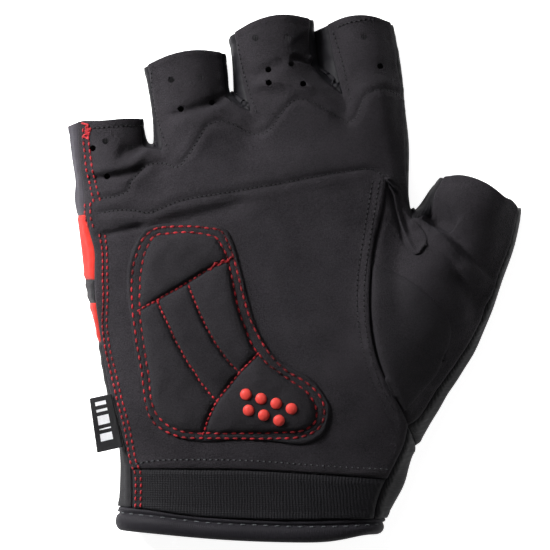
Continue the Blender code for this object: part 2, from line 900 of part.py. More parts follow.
def binding_grid():
    """Closed rows of the wrist's binding, from its top rim to its lower rim."""
    rows = []
    for share in (0.0, 0.5, 1.0):
        front = []
        for step in range(25):
            angle = math.pi * (1.0 - step / 24)
            reach = math.copysign(abs(math.cos(angle)) ** (2 / ARCH_POWER), math.cos(angle))
            rise = abs(math.sin(angle)) ** (2 / ARCH_POWER)
            guess = -0.09 + reach * 0.30
            top = read_off(BINDING_TOP, guess)
            bottom = read_off(BINDING_BOTTOM, guess)
            along = mix(top, bottom, share)
            left = read_off(LITTLE_SIDE, along, 2) * GLOVE_WIDTH + CLOTH
            right = read_off(PALM_SIDE, along, 2) * GLOVE_WIDTH - CLOTH
            crown = read_off(CROWNS, along) * PALM_CROWN
            edge = crown * EDGE_SHARE
            across = (left + right) / 2 + (right - left) / 2 * reach
            point = Vector((across, (along - 0.5) * GLOVE_LENGTH, edge + (crown - edge) * rise))
            front.append(point)
        floor = back_height(0.0)
        back = []
        ends = (front[-1], front[0])
        for end, way in ((ends[0], -1.0), (ends[1], 1.0)):
            turn = []
            for step in range(1, 4):
                angle = math.pi / 2 * step / 3
                point = end.copy()
                point.x += way * UNDER_TURN * (1.0 - math.cos(angle))
                point.z = floor + (end.z - floor) * (1.0 - math.sin(angle))
                turn.append(point)
            back.append(turn)
        middle = []
        for step in range(1, 8):
            middle.append(mix(back[0][-1], back[1][-1], step / 8))
        rows.append(front + back[0] + middle + list(reversed(back[1])))
    return rows


def new_material(name, colour, roughness, metallic=0.0):
    """Principled material of one piece."""
    material = bpy.data.materials.new(name)
    material.use_nodes = True
    shader = material.node_tree.nodes["Principled BSDF"]
    shader.inputs["Base Color"].default_value = (colour[0], colour[1], colour[2], 1.0)
    shader.inputs["Roughness"].default_value = roughness
    shader.inputs["Metallic"].default_value = metallic
    material.diffuse_color = (colour[0], colour[1], colour[2], 1.0)
    return material


def draw_in(mesh, distance):
    """Move a sheet's open edges inwards to leave a gap at its seams."""
    mesh.normal_update()
    moves = {}
    for edge in mesh.edges:
        if not edge.is_boundary:
            continue
        face = edge.link_faces[0]
        run = (edge.verts[1].co - edge.verts[0].co).normalized()
        inward = face.normal.cross(run)
        if inward.dot(face.calc_center_median() - edge.verts[0].co) < 0:
            inward.negate()
        for vert in edge.verts:
            moves.setdefault(vert, []).append(inward)
    for vert, ways in moves.items():
        total = Vector((0.0, 0.0, 0.0))
        for way in ways:
            total += way
        if len(ways) == 2:
            total /= max(1.0 + ways[0].dot(ways[1]), 0.5)
        vert.co += total * distance


def sheet_mesh(grids, flip=False, closed=False, gap=HALF_GAP):
    """Mesh of one or more grids joined at shared points."""
    mesh = bmesh.new()
    for grid in grids:
        made = [[mesh.verts.new(point) for point in row] for row in grid]
        for lower, upper in zip(made, made[1:]):
            count = len(lower)
            for column in range(count if closed else count - 1):
                after = (column + 1) % count
                corners = [lower[column], lower[after], upper[after], upper[column]]
                if flip:
                    corners.reverse()
                mesh.faces.new(corners)
    bmesh.ops.remove_doubles(mesh, verts=mesh.verts, dist=0.00001)
    if gap > 0:
        draw_in(mesh, gap)
    return mesh


def keep(mesh, name, material, collection):
    """Turn a mesh into a named object with its material."""
    data = bpy.data.meshes.new(name)
    for face in mesh.faces:
        face.smooth = True
    mesh.to_mesh(data)
    mesh.free()
    data.materials.append(material)
    thing = bpy.data.objects.new(name, data)
    collection.objects.link(thing)
    return thing


def cloth(
    name,
    grids,
    material,
    collection,
    thickness=CLOTH,
    flip=False,
    closed=False,
    gap=HALF_GAP,
):
    """Cloth piece: an open sheet given its thickness on the outer side."""
    mesh = sheet_mesh(grids, flip, closed, gap)
    thing = keep(mesh, name, material, collection)
    shell = thing.modifiers.new("thickness", "SOLIDIFY")
    shell.thickness = thickness
    shell.offset = 1.0
    shell.use_even_offset = False
    shell.use_quality_normals = True
    return thing


class Ground:
    """The front of the glove, for laying further pieces on it."""

    def __init__(self, grids):
        mesh = sheet_mesh(grids, gap=0.0)
        self.tree = BVHTree.FromBMesh(mesh)
        mesh.free()

    def height(self, point):
        """Height of the front under a point."""
        start = Vector((point.x, point.y, 0.2))
        hit = self.tree.ray_cast(start, Vector((0.0, 0.0, -1.0)))
        if hit[0] is None:
            near = self.tree.find_nearest(Vector((point.x, point.y, SEAM_HEIGHT)))
            return near[0].z
        return hit[0].z

    def above(self, point, distance):
        """Point at a distance from the front, square to it."""
        step = CLOTH
        right = self.height(point + Vector((step, 0.0, 0.0)))
        left = self.height(point - Vector((step, 0.0, 0.0)))
        upper = self.height(point + Vector((0.0, step, 0.0)))
        lower = self.height(point - Vector((0.0, step, 0.0)))
        normal = Vector(((left - right) / (2 * step), (lower - upper) / (2 * step), 1.0))
        normal.normalize()
        foot = Vector((point.x, point.y, self.height(point)))
        return foot + normal * distance, normal


def row_patch(rows, columns, steps):
    """Flat grid from rows of along, left across and right across."""
    rising = sorted(rows)
    line = []
    for row in range(steps + 1):
        place_in = row / steps * (len(rising) - 1)
        low = min(int(place_in), len(rising) - 2)
        share = place_in - low
        along = mix(rising[low][0], rising[low + 1][0], share)
        left = mix(rising[low][1], rising[low + 1][1], share)
        right = mix(rising[low][2], rising[low + 1][2], share)
        line.append([place(mix(left, right, c / columns), along) for c in range(columns + 1)])
    return line


def lay_on(ground, grid, distance):
    """Grid laid on the front at a distance."""
    return [[ground.above(point, distance)[0] for point in row] for row in grid]


def raised_cell(name, lines, ground, level, material, collection):
    """Puffed cell of the pad: a sheet whose thickness grows from its edge."""
    lower, upper, left, right = lines
    grid = span_patch(
        curve_points(lower, CELL_COLUMNS),
        curve_points(upper, CELL_COLUMNS),
        curve_points(left, CELL_ROWS),
        curve_points(right, CELL_ROWS),
    )
    laid = lay_on(ground, grid, level)
    mesh = sheet_mesh([laid], gap=0.0)
    thing = keep(mesh, name, material, collection)
    group = thing.vertex_groups.new(name="puff")
    for vert in thing.data.vertices:
        up = vert.index // (CELL_COLUMNS + 1) / CELL_ROWS
        over = vert.index % (CELL_COLUMNS + 1) / CELL_COLUMNS
        edge = min(up, 1.0 - up) * 3.4
        side = min(over, 1.0 - over) * 3.0
        puff = smooth(edge) * smooth(side)
        group.add([vert.index], 0.22 + 0.78 * math.sqrt(puff), "REPLACE")
    shell = thing.modifiers.new("puff", "SOLIDIFY")
    shell.thickness = CELL_HEIGHT
    shell.offset = 1.0
    shell.vertex_group = "puff"
    shell.thickness_vertex_group = 0.0
    return thing


def rubber_dot(name, spot, ground, level, material, collection):
    """Round raised dot with a softened rim."""
    centre, normal = ground.above(place(spot[0], spot[1]), level)
    mesh = bmesh.new()
    turn = normal.to_track_quat("Z", "Y").to_matrix().to_4x4()
    where = Matrix.Translation(centre + normal * DOT_HEIGHT / 2) @ turn
    bmesh.ops.create_cone(
        mesh,
        cap_ends=True,
        segments=12,
        radius1=DOT_DIAMETER / 2,
        radius2=DOT_DIAMETER * 0.40,
        depth=DOT_HEIGHT,
        matrix=where,
    )
    return keep(mesh, name, material, collection)


def hole_cutter(collection):
    """Round pins standing where the breathing holes go through."""
    mesh = bmesh.new()
    low = SEAM_HEIGHT * 0.5
    high = VALLEY_HEIGHT + PALM_CROWN
    for across, along in HOLES:
        where = Matrix.Translation(place(across, along, (low + high) / 2))
        bmesh.ops.create_cone(
            mesh,
            cap_ends=True,
            segments=10,
            radius1=HOLE_DIAMETER / 2,
            radius2=HOLE_DIAMETER / 2,
            depth=high - low,
            matrix=where,
        )
    data = bpy.data.meshes.new("hole_pins")
    mesh.to_mesh(data)
    mesh.free()
    pins = bpy.data.objects.new("hole_pins", data)
    pins.hide_render = True
    pins.display_type = "WIRE"
    collection.objects.link(pins)
    return pins


def rounded_plate(name, centre, size, turn, material, collection):
    """Flat plate with rounded upright corners."""
    mesh = bmesh.new()
    bmesh.ops.create_cube(mesh, size=1.0)
    bmesh.ops.scale(mesh, vec=size, verts=mesh.verts)
    upright = [e for e in mesh.edges if abs(e.verts[0].co.z - e.verts[1].co.z) > size.z / 2]
    corner = min(size.x, size.y) * 0.22
    bmesh.ops.bevel(mesh, geom=upright, offset=corner, segments=4, affect="EDGES")
    where = Matrix.Translation(centre) @ Matrix.Rotation(turn, 4, "Z")
    bmesh.ops.transform(mesh, matrix=where, verts=mesh.verts)
    return keep(mesh, name, material, collection)


def clear_scene():
    """Remove every object of the starting scene."""
    for thing in list(bpy.data.objects):
        bpy.data.objects.remove(thing, do_unlink=True)


def build_materials():
    """Materials of the pieces by name."""
    return {
        "suede": new_material("suede_black", (0.045, 0.040, 0.046), 0.92),
        "suede_fine": new_material("suede_patch", (0.038, 0.034, 0.040), 0.95),
        "stretch": new_material("stretch_black", (0.022, 0.021, 0.025), 0.72),
        "satin": new_material("satin_black", (0.030, 0.029, 0.034), 0.50),
        "grey": new_material("stretch_grey", (0.095, 0.088, 0.100), 0.80),
        "red": new_material("stretch_red", (0.78, 0.060, 0.035), 0.70),
        "elastic": new_material("elastic_black", (0.028, 0.026, 0.031), 0.85),
        "rubber": new_material("rubber_red", (0.62, 0.060, 0.050), 0.45),
        "label": new_material("label_black", (0.030, 0.030, 0.032), 0.80),
    }


def build_fronts(made, materials, pieces):
    """Palm, finger fronts, wrist elastic and thumb front."""
    cloth("palm_panel", [made["palm"]], materials["suede"], pieces)
    front = cloth("finger_panel", [made["band"]] + made["fingers"], materials["suede"], pieces)
    cloth("cuff_elastic", [made["cuff"]], materials["elastic"], pieces)
    cloth("thumb_panel", [made["thumb"]], materials["suede"], pieces)
    return front


def build_sides(made, materials, pieces):
    """Strips that stand between the front and the back."""
    strip = made["little"]
    palm_start = CUFF_ROWS
    rows = len(made["palm"]) - 1
    first = palm_start + PALM_SPANS[0][1]
    second = first + PALM_SPANS[1][1]
    third = second + PALM_SPANS[2][1]
    fourth = palm_start + rows + 2
    spans = (
        ("side_lower", 0, first, "stretch"),
        ("side_block_lower", first, second, "red"),
        ("side_middle", second, third, "stretch"),
        ("side_block_upper", third, fourth, "red"),
        ("side_little_finger", fourth, len(strip) - 1, "grey"),
    )
    for name, start, end, key in spans:
        cloth(name, [strip[start:end + 1]], materials[key], pieces, flip=True)
    names = ("fourchette_little_ring", "fourchette_ring_middle", "fourchette_middle_index")
    for name, grid in zip(names, made["notches"]):
        cloth(name, [grid], materials["satin"], pieces, flip=True)
    cloth("fourchette_index_thumb", [made["web"]], materials["stretch"], pieces, flip=True)
    cloth("cuff_side", [made["cuff_side"]], materials["stretch"], pieces)


def build_backs(made, materials, pieces):
    """Back, thumb's back, binding and the plain tab under the wrist."""
    wide = 2 * HALF_GAP
    cloth("back_panel", made["backs"], materials["stretch"], pieces, flip=True, gap=wide)
    cloth("thumb_back", [made["thumb_back"]], materials["stretch"], pieces, gap=wide)
    cloth(
        "hem_binding",
        [made["binding"]],
        materials["elastic"],
        pieces,
        thickness=BINDING,
        flip=True,
        closed=True,
    )
    size = Vector((TAB_LENGTH, TAB_WIDTH, TAB_THICKNESS))
    centre = place(-0.02, 0.140, TAB_THICKNESS / 2)
    rounded_plate("wrist_tab", centre, size, 0.0, materials["suede_fine"], pieces)


def build_overlays(made, materials, pieces):
    """Pad, cells, dots, thumb patch, tongue and label."""
    ground = made["ground"]
    first = CLOTH + LAYER_GAP
    second = first + PATCH_THICKNESS + LAYER_GAP
    top = second + CELL_HEIGHT + LAYER_GAP
    pad = lay_on(ground, row_patch(PAD_ROWS, 9, 15), first)
    cloth("pad_base", [pad], materials["suede_fine"], pieces, thickness=PATCH_THICKNESS)
    for name, lower, upper, left, right in CELLS:
        lines = (lower, upper, left, right)
        raised_cell(name, lines, ground, second, materials["suede_fine"], pieces)
    for number, spot in enumerate(DOTS):
        rubber_dot(f"grip_dot_{number + 1}", spot, ground, top, materials["rubber"], pieces)
    patch = lay_on(ground, row_patch(THUMB_PATCH_ROWS, 6, 10), first + LAYER_GAP)
    cloth("thumb_patch", [patch], materials["suede_fine"], pieces, thickness=PATCH_THICKNESS)
    tongue = lay_on(ground, row_patch(TONGUE_ROWS, 3, 7), first + 0.5 * LAYER_GAP)
    cloth("crotch_tongue", [tongue], materials["suede"], pieces, thickness=PATCH_THICKNESS)
    seam = place(read_off(LITTLE_SIDE, 0.225), 0.225)
    height = ground.height(seam) + CLOTH + LABEL_THICKNESS / 2 + 2 * LAYER_GAP
    centre = seam + Vector((-LABEL_REACH * 0.62, 0.0, height))
    size = Vector((LABEL_REACH, LABEL_LENGTH, LABEL_THICKNESS))
    rounded_plate("label_tab", centre, size, 0.19, materials["label"], pieces)


def main():
    """Build the whole glove."""
    clear_scene()
    pieces = bpy.data.collections.new(COLLECTION)
    helpers = bpy.data.collections.new("cutters")
    bpy.context.scene.collection.children.link(pieces)
    bpy.context.scene.collection.children.link(helpers)
    materials = build_materials()

    palm = palm_grid()
    band = band_grid()
    band[0][:PALM_COLUMNS + 1] = [point.copy() for point in palm[-1]]
    cuff = cuff_grid(palm[0])
    fingers = [finger_grid(number) for number in range(4)]
    inner, inner_edges, outer, outer_edges = thumb_lines(palm, band)
    thumb = thumb_grid(palm, inner, outer)
    little, left_feet = little_strip(cuff, palm, band, fingers[0])
    notches = []
    notch_feet = []
    for number in range(3):
        rows, feet = notch_strip(number, fingers[number], fingers[number + 1])
        notches.append(rows)
        notch_feet.append(feet)
    web, web_feet = web_strip(fingers[3], band, inner, inner_edges)
    cuff_side, cuff_feet = cuff_side_strip(cuff, palm, outer_edges[0])
    crotch = FINGER_ROWS + len(BAND_ROWS)
    crotch_foot = web_feet[crotch]
    thumb_back = thumb_back_grid(
        outer, outer_edges, web_feet[crotch + 1:], crotch_foot
    )
    backs = back_grids(left_feet, cuff_feet, notch_feet, web_feet, crotch_foot)
    made = {
        "palm": palm,
        "band": band,
        "cuff": cuff,
        "fingers": fingers,
        "thumb": thumb,
        "little": little,
        "notches": notches,
        "web": web,
        "cuff_side": cuff_side,
        "thumb_back": thumb_back,
        "backs": backs,
        "binding": binding_grid(),
        "ground": Ground([cuff, palm, band, thumb] + fingers),
    }
    front = build_fronts(made, materials, pieces)
    build_sides(made, materials, pieces)
    build_backs(made, materials, pieces)
    build_overlays(made, materials, pieces)

    pins = hole_cutter(helpers)
    cut = front.modifiers.new("breathing_holes", "BOOLEAN")
    cut.operation = "DIFFERENCE"
    cut.solver = "EXACT"
    cut.object = pins


main()
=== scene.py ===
"""Looks of the fingerless cycling glove, laid out as a Blender add-on.

X runs towards the thumb, Y towards the fingertips and Z up, in metres. The
tables hold shares: across is a share of GLOVE_WIDTH measured from the middle
line, along is a share of GLOVE_LENGTH measured from the lower hem.
"""

import math

import bmesh
import bpy
import numpy as np
from bpy.props import FloatProperty, FloatVectorProperty, PointerProperty
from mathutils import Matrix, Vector
from mathutils.bvhtree import BVHTree
from mathutils.kdtree import KDTree


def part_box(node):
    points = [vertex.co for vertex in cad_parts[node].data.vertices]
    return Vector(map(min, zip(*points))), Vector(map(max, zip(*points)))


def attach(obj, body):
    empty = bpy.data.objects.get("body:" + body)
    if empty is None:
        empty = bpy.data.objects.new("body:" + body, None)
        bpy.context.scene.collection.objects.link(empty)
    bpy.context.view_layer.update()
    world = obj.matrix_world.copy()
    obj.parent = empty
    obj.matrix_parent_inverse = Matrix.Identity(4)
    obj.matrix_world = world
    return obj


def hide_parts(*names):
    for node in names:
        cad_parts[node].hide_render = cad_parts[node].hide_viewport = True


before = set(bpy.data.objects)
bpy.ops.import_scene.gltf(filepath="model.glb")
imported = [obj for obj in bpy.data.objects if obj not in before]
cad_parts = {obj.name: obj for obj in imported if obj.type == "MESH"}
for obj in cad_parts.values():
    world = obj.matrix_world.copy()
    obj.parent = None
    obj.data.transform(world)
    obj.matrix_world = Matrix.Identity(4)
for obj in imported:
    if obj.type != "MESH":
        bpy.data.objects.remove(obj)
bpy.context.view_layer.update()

bl_info = {
    "name": "Fingerless Cycling Glove",
    "version": (1, 0, 0),
    "blender": (4, 5, 0),
    "location": "View3D > Sidebar > Glove",
    "description": "Builds the cloth, seams, pads and stage of a fingerless cycling glove",
    "category": "Add Mesh",
}

# Driving sizes.
GLOVE_WIDTH = 0.1338
GLOVE_LENGTH = 0.155
PALM_CROWN = 0.0225
FINGER_CROWN = 0.0155
THUMB_CROWN = 0.0195
VALLEY_HEIGHT = 0.0138
SEAM_HEIGHT = 0.0098
CLOTH = 0.0013
LAYER_GAP = 0.00035
UNDER_TURN = 0.0035
TAB_THICKNESS = 0.0015
THUMB_SWELL = 0.0040

# Walls of the cloths, what a lapped edge adds to one, and the least height of
# an outer and of an inner face over the floor.
BACK_WALL = 0.0011
PATCH_WALL = 0.0009
PAD_WALL = 0.0008
LABEL_WALL = 0.0010
LAP = 0.0007
OUTER_CLEARANCE = 0.00008
INNER_CLEARANCE = 0.00005

EDGE_SHARE = 0.40
ARCH_POWER = 2.5
FINGER_POWER = 2.3

# Steps of the grids.
FINGER_COLUMNS = 6
FINGER_ROWS = 7
PALM_COLUMNS = 22
THUMB_ROW = 3
THUMB_STEPS = 11
BACK_STEPS = (0, 1, 2, 4, 7)
CUFF_ROWS = 3
BAND_ROWS = (0.0, 0.23, 0.46, 0.64, 0.82, 1.0)
PALM_SPANS = ((0.541, 9), (0.709, 3), (0.803, 2), (1.0, 3))

# along, seam across, outline across: the little finger's side.
LITTLE_SIDE = (
    (0.000, -0.351, -0.390), (0.068, -0.351, -0.388), (0.102, -0.351, -0.384),
    (0.154, -0.357, -0.382), (0.192, -0.369, -0.387), (0.241, -0.385, -0.400),
    (0.298, -0.402, -0.414), (0.349, -0.413, -0.424), (0.400, -0.422, -0.436),
    (0.457, -0.429, -0.452), (0.514, -0.431, -0.462), (0.562, -0.431, -0.469),
    (0.590, -0.443, -0.474), (0.622, -0.454, -0.477), (0.651, -0.456, -0.485),
    (0.676, -0.458, -0.481), (0.723, -0.466, -0.489), (0.784, -0.469, -0.498),
)

# along, seam across, foot of the palm's arch across: the thumb's side.
PALM_SIDE = (
    (0.000, 0.166, 0.181), (0.068, 0.177, 0.221), (0.106, 0.190, 0.245), (0.142, 0.210, 0.256),
    (0.178, 0.235, 0.271), (0.211, 0.248, 0.283), (0.243, 0.236, 0.296), (0.288, 0.208, 0.318),
    (0.332, 0.186, 0.327), (0.381, 0.171, 0.328), (0.429, 0.166, 0.322), (0.476, 0.165, 0.313),
    (0.531, 0.169, 0.298), (0.579, 0.175, 0.280), (0.626, 0.190, 0.262), (0.677, 0.197, 0.252),
    (0.780, 0.210, 0.256),
)

# along, seam across, outline across: the forefinger's outer side.
INDEX_SIDE = (
    (0.632, 0.245, 0.252), (0.689, 0.242, 0.254), (0.751, 0.241, 0.256), (0.820, 0.234, 0.247),
    (0.865, 0.230, 0.243), (0.920, 0.221, 0.234), (0.977, 0.208, 0.219),
)

# along, height of the palm's crown as a share of PALM_CROWN.
CROWNS = (
    (0.000, 0.86), (0.060, 0.88), (0.130, 0.90), (0.250, 1.00), (0.420, 1.00), (0.560, 0.93),
    (0.680, 0.86), (0.800, 0.80),
)

# across, along: where the palm's cloth ends above the wrist.
HEM_LINE = (
    (-0.351, 0.139), (-0.249, 0.140), (-0.098, 0.139), (0.014, 0.133), (0.135, 0.125),
    (0.199, 0.121),
)

# across, along: the seam between the palm and the finger fronts.
KNUCKLE_LINE = (
    (-0.456, 0.586), (-0.432, 0.581), (-0.373, 0.588), (-0.315, 0.598), (-0.234, 0.619),
    (-0.148, 0.636), (-0.074, 0.653), (0.014, 0.676), (0.102, 0.691), (0.165, 0.697),
    (0.197, 0.685), (0.223, 0.658), (0.245, 0.632),
)

# column, across: where the finger columns start on the knuckle line.
KNUCKLE_COLUMNS = ((0, -0.443), (6, -0.290), (12, -0.090), (18, 0.110), (22, 0.197), (24, 0.245))

# across, along: the two rims of the wrist's binding.
BINDING_TOP = (
    (-0.392, 0.0665), (-0.331, 0.0645), (-0.205, 0.051), (-0.118, 0.047), (-0.016, 0.044),
    (0.173, 0.046), (0.230, 0.046),
)
BINDING_BOTTOM = (
    (-0.390, 0.021), (-0.324, 0.017), (-0.192, 0.008), (-0.093, 0.003), (0.058, 0.000),
    (0.115, 0.002), (0.185, 0.014),
)

# step, then across and along for the seam and the outline of one finger and
# for the outline and the seam of the next, from the crotch to the tips.
NOTCHES = (
    (
        (0.00, -0.282, 0.734, -0.310, 0.750, -0.310, 0.750, -0.282, 0.734),
        (0.20, -0.322, 0.744, -0.319, 0.755, -0.309, 0.772, -0.291, 0.770),
        (0.55, -0.337, 0.767, -0.326, 0.776, -0.315, 0.827, -0.303, 0.831),
        (1.00, -0.342, 0.800, -0.330, 0.801, -0.329, 0.892, -0.316, 0.901),
    ),
    (
        (0.00, -0.087, 0.808, -0.133, 0.839, -0.133, 0.839, -0.087, 0.808),
        (0.20, -0.144, 0.835, -0.141, 0.850, -0.134, 0.863, -0.102, 0.852),
        (0.55, -0.156, 0.875, -0.143, 0.882, -0.136, 0.905, -0.115, 0.907),
        (1.00, -0.162, 0.924, -0.148, 0.922, -0.143, 0.951, -0.125, 0.962),
    ),
    (
        (0.00, 0.115, 0.839, 0.063, 0.882, 0.063, 0.882, 0.115, 0.839),
        (0.20, 0.049, 0.879, 0.058, 0.896, 0.050, 0.901, 0.104, 0.880),
        (0.55, 0.039, 0.932, 0.052, 0.937, 0.043, 0.935, 0.092, 0.928),
        (1.00, 0.031, 0.987, 0.0445, 0.987, 0.0440, 0.967, 0.080, 0.978),
    ),
)

# The thumb's inner side from the crotch to its opening, like the rows above.
THUMB_INNER = (
    (0.00, 0.258, 0.602, 0.260, 0.620), (0.20, 0.287, 0.628, 0.276, 0.639),
    (0.60, 0.313, 0.657, 0.300, 0.668), (1.00, 0.335, 0.679, 0.321, 0.687),
)

# step, then across and along for the seam and the outline of the thumb's
# outer side, from the wrist to the opening.
THUMB_OUTER = (
    (0.00, 0.254, 0.207, 0.271, 0.176), (0.14, 0.280, 0.243, 0.309, 0.230),
    (0.28, 0.329, 0.313, 0.353, 0.294), (0.38, 0.370, 0.359, 0.399, 0.351),
    (0.50, 0.405, 0.416, 0.430, 0.416), (0.60, 0.427, 0.457, 0.447, 0.457),
    (0.80, 0.463, 0.548, 0.484, 0.548), (0.93, 0.476, 0.590, 0.499, 0.600),
    (1.00, 0.476, 0.617, 0.493, 0.622),
)

# across, along: the seam between the back and the thumb's back.
BACK_THUMB_SEAM = (
    (0.240, 0.225), (0.236, 0.300), (0.238, 0.400), (0.243, 0.500), (0.250, 0.570),
)

# bow of the rim as a share of GLOVE_LENGTH, crown as a share of FINGER_CROWN.
FINGERS = (
    ("little", 0.005, 0.96), ("ring", 0.015, 1.00), ("middle", 0.020, 1.04),
    ("index", 0.018, 1.06),
)

# across, along of both ends, then height and half width in shares of GLOVE_LENGTH.
FOLDS = (
    (0.295, 0.590, 0.350, 0.525, -0.0150, 0.022), (0.350, 0.525, 0.420, 0.445, -0.0070, 0.020),
    (-0.440, 0.580, -0.325, 0.585, -0.0040, 0.026),
    (-0.325, 0.585, -0.150, 0.615, -0.0040, 0.026), (-0.330, 0.655, -0.100, 0.700, 0.0070, 0.028),
    (-0.050, 0.700, 0.100, 0.735, 0.0080, 0.032), (-0.090, 0.872, 0.070, 0.868, 0.0050, 0.018),
    (-0.275, 0.808, -0.140, 0.840, -0.0050, 0.016), (0.040, 0.430, 0.060, 0.560, -0.0085, 0.090),
    (0.200, 0.450, 0.240, 0.360, 0.0100, 0.060),
)

# across, along of the breathing holes.
HOLES = (
    (-0.411, 0.757), (-0.439, 0.744), (-0.358, 0.746), (-0.408, 0.691), (-0.267, 0.873),
    (-0.204, 0.877), (-0.246, 0.818), (-0.179, 0.831), (-0.083, 0.952), (-0.013, 0.952),
    (-0.055, 0.892), (-0.005, 0.903), (-0.054, 0.867), (0.021, 0.865), (0.154, 0.954),
    (0.189, 0.899),
)


# across, along of the raised rubber dots.
DOTS = (
    (-0.104, 0.281), (-0.071, 0.273), (-0.038, 0.264), (-0.005, 0.254), (-0.098, 0.251),
    (-0.065, 0.242), (-0.032, 0.232),
)


def smooth(value):
    """Ease from 0 to 1."""
    value = min(max(value, 0.0), 1.0)
    return value * value * (3.0 - 2.0 * value)


def mix(first, second, share):
    """Value between two values or points."""
    return first * (1.0 - share) + second * share


def read_off(table, station, column=1):
    """Smooth value of a table's column; the first column is the station."""
    if station <= table[0][0]:
        return table[0][column]
    if station >= table[-1][0]:
        return table[-1][column]
    low = 0
    while table[low + 1][0] < station:
        low += 1

    def slope(row):
        before = table[max(row - 1, 0)]
        after = table[min(row + 1, len(table) - 1)]
        return (after[column] - before[column]) / (after[0] - before[0])

    span = table[low + 1][0] - table[low][0]
    step = (station - table[low][0]) / span
    start = table[low][column]
    end = table[low + 1][column]
    first = slope(low) * span
    second = slope(low + 1) * span
    cube = step ** 3
    square = step ** 2
    value = (2 * cube - 3 * square + 1) * start + (cube - 2 * square + step) * first
    return value + (3 * square - 2 * cube) * end + (cube - square) * second


def place(across, along, height=0.0):
    """Point of the glove from its shares."""
    return Vector((across * GLOVE_WIDTH, (along - 0.5) * GLOVE_LENGTH, height))


def shares(point):
    """Shares of a point of the glove."""
    return point.x / GLOVE_WIDTH, point.y / GLOVE_LENGTH + 0.5


def flat(point):
    """Point moved down to the floor."""
    return Vector((point.x, point.y, 0.0))


def side_point(table, along, column=1):
    """Point of a side at a share of the length; column 2 is the outline."""
    return place(read_off(table, along, column), along)


def paired_point(table, step, column):
    """Point of a table whose column holds across and the next one along."""
    return place(read_off(table, step, column), read_off(table, step, column + 1))


def spread(points, count):
    """Points at even steps of length along a line."""
    lengths = [0.0]
    for first, second in zip(points, points[1:]):
        lengths.append(lengths[-1] + (second - first).length)
    result = []
    for step in range(count + 1):
        want = lengths[-1] * step / count
        low = 0
        while low < len(points) - 2 and lengths[low + 1] < want:
            low += 1
        run = max(lengths[low + 1] - lengths[low], 1e-9)
        result.append(mix(points[low], points[low + 1], (want - lengths[low]) / run))
    return result


def span_patch(lower, upper, left, right, ups=None):
    """Grid between four lines; rows rise from the lower to the upper line."""
    rows = []
    for number, (start, end) in enumerate(zip(left, right)):
        up = ups[number] if ups else number / (len(left) - 1)
        row = []
        for column, (foot, head) in enumerate(zip(lower, upper)):
            over = column / (len(lower) - 1)
            low = mix(lower[0], lower[-1], over)
            high = mix(upper[0], upper[-1], over)
            row.append(mix(start, end, over) + mix(foot, head, up) - mix(low, high, up))
        rows.append(row)
    return rows


def fold_height(point):
    """Height that the folds and soft swellings add at a point."""
    total = 0.0
    for across_a, along_a, across_b, along_b, height, reach in FOLDS:
        start = place(across_a, along_a)
        way = place(across_b, along_b) - start
        over = flat(point) - start
        share = min(max(over.dot(way) / way.length_squared, 0.0), 1.0)
        away = (over - way * share).length / (reach * GLOVE_LENGTH)
        total += height * GLOVE_LENGTH * math.exp(-away * away)
    return total


def palm_arch(along):
    """Middle, half width, edge height and crown height of the palm's arch."""
    left = read_off(LITTLE_SIDE, along, 2) * GLOVE_WIDTH + CLOTH
    right = read_off(PALM_SIDE, along, 2) * GLOVE_WIDTH - CLOTH
    crown = read_off(CROWNS, along) * PALM_CROWN
    return (left + right) / 2, (right - left) / 2, crown * EDGE_SHARE, crown


def palm_height(point):
    """Height of the palm's arch over the floor, inside the cloth."""
    middle, half, edge, crown = palm_arch(shares(point)[1])
    away = min(abs(point.x - middle) / half, 0.995)
    return edge + (crown - edge) * (1.0 - away ** ARCH_POWER) ** (1.0 / ARCH_POWER)


def back_height(along):
    """Height of the back's cloth inside, raised over the wrist's tab."""
    lift = TAB_THICKNESS + LAYER_GAP
    return CLOTH + lift * smooth((0.280 - along) / 0.06)


def knuckle_row():
    """Points of the knuckle line at the finger columns."""
    row = []
    for column in range(4 * FINGER_COLUMNS + 1):
        low = 0
        while KNUCKLE_COLUMNS[low + 1][0] < column:
            low += 1
        first = KNUCKLE_COLUMNS[low]
        second = KNUCKLE_COLUMNS[low + 1]
        share = (column - first[0]) / (second[0] - first[0])
        across = mix(first[1], second[1], share)
        point = place(across, read_off(KNUCKLE_LINE, across))
        point.z = palm_height(point)
        row.append(point)
    return row


def palm_stations():
    """Shares of the palm's rows, with rows at the side's colour changes."""
    stations = [0.0]
    for end, steps in PALM_SPANS:
        start = stations[-1]
        for step in range(steps):
            stations.append(mix(start, end, (step + 1) / steps))
    return stations


def palm_grid():
    """Grid of the palm's cloth from the wrist's hem to the knuckle line."""
    upper = knuckle_row()[:PALM_COLUMNS + 1]
    left = []
    right = []
    for share in palm_stations():
        along = mix(HEM_LINE[0][1], shares(upper[0])[1], share)
        left.append(side_point(LITTLE_SIDE, along))
        along = mix(HEM_LINE[-1][1], shares(upper[-1])[1], share)
        right.append(side_point(PALM_SIDE, along))
    left[-1] = flat(upper[0])
    right[-1] = flat(upper[-1])
    lower = []
    for column in range(PALM_COLUMNS + 1):
        across = mix(HEM_LINE[0][0], HEM_LINE[-1][0], column / PALM_COLUMNS)
        lower.append(place(across, read_off(HEM_LINE, across)))
    left[0] = lower[0]
    right[0] = lower[-1]
    rows = span_patch(lower, [flat(point) for point in upper], left, right)
    for row in rows:
        for point in row:
            point.z = palm_height(point) + fold_height(point)
    return rows


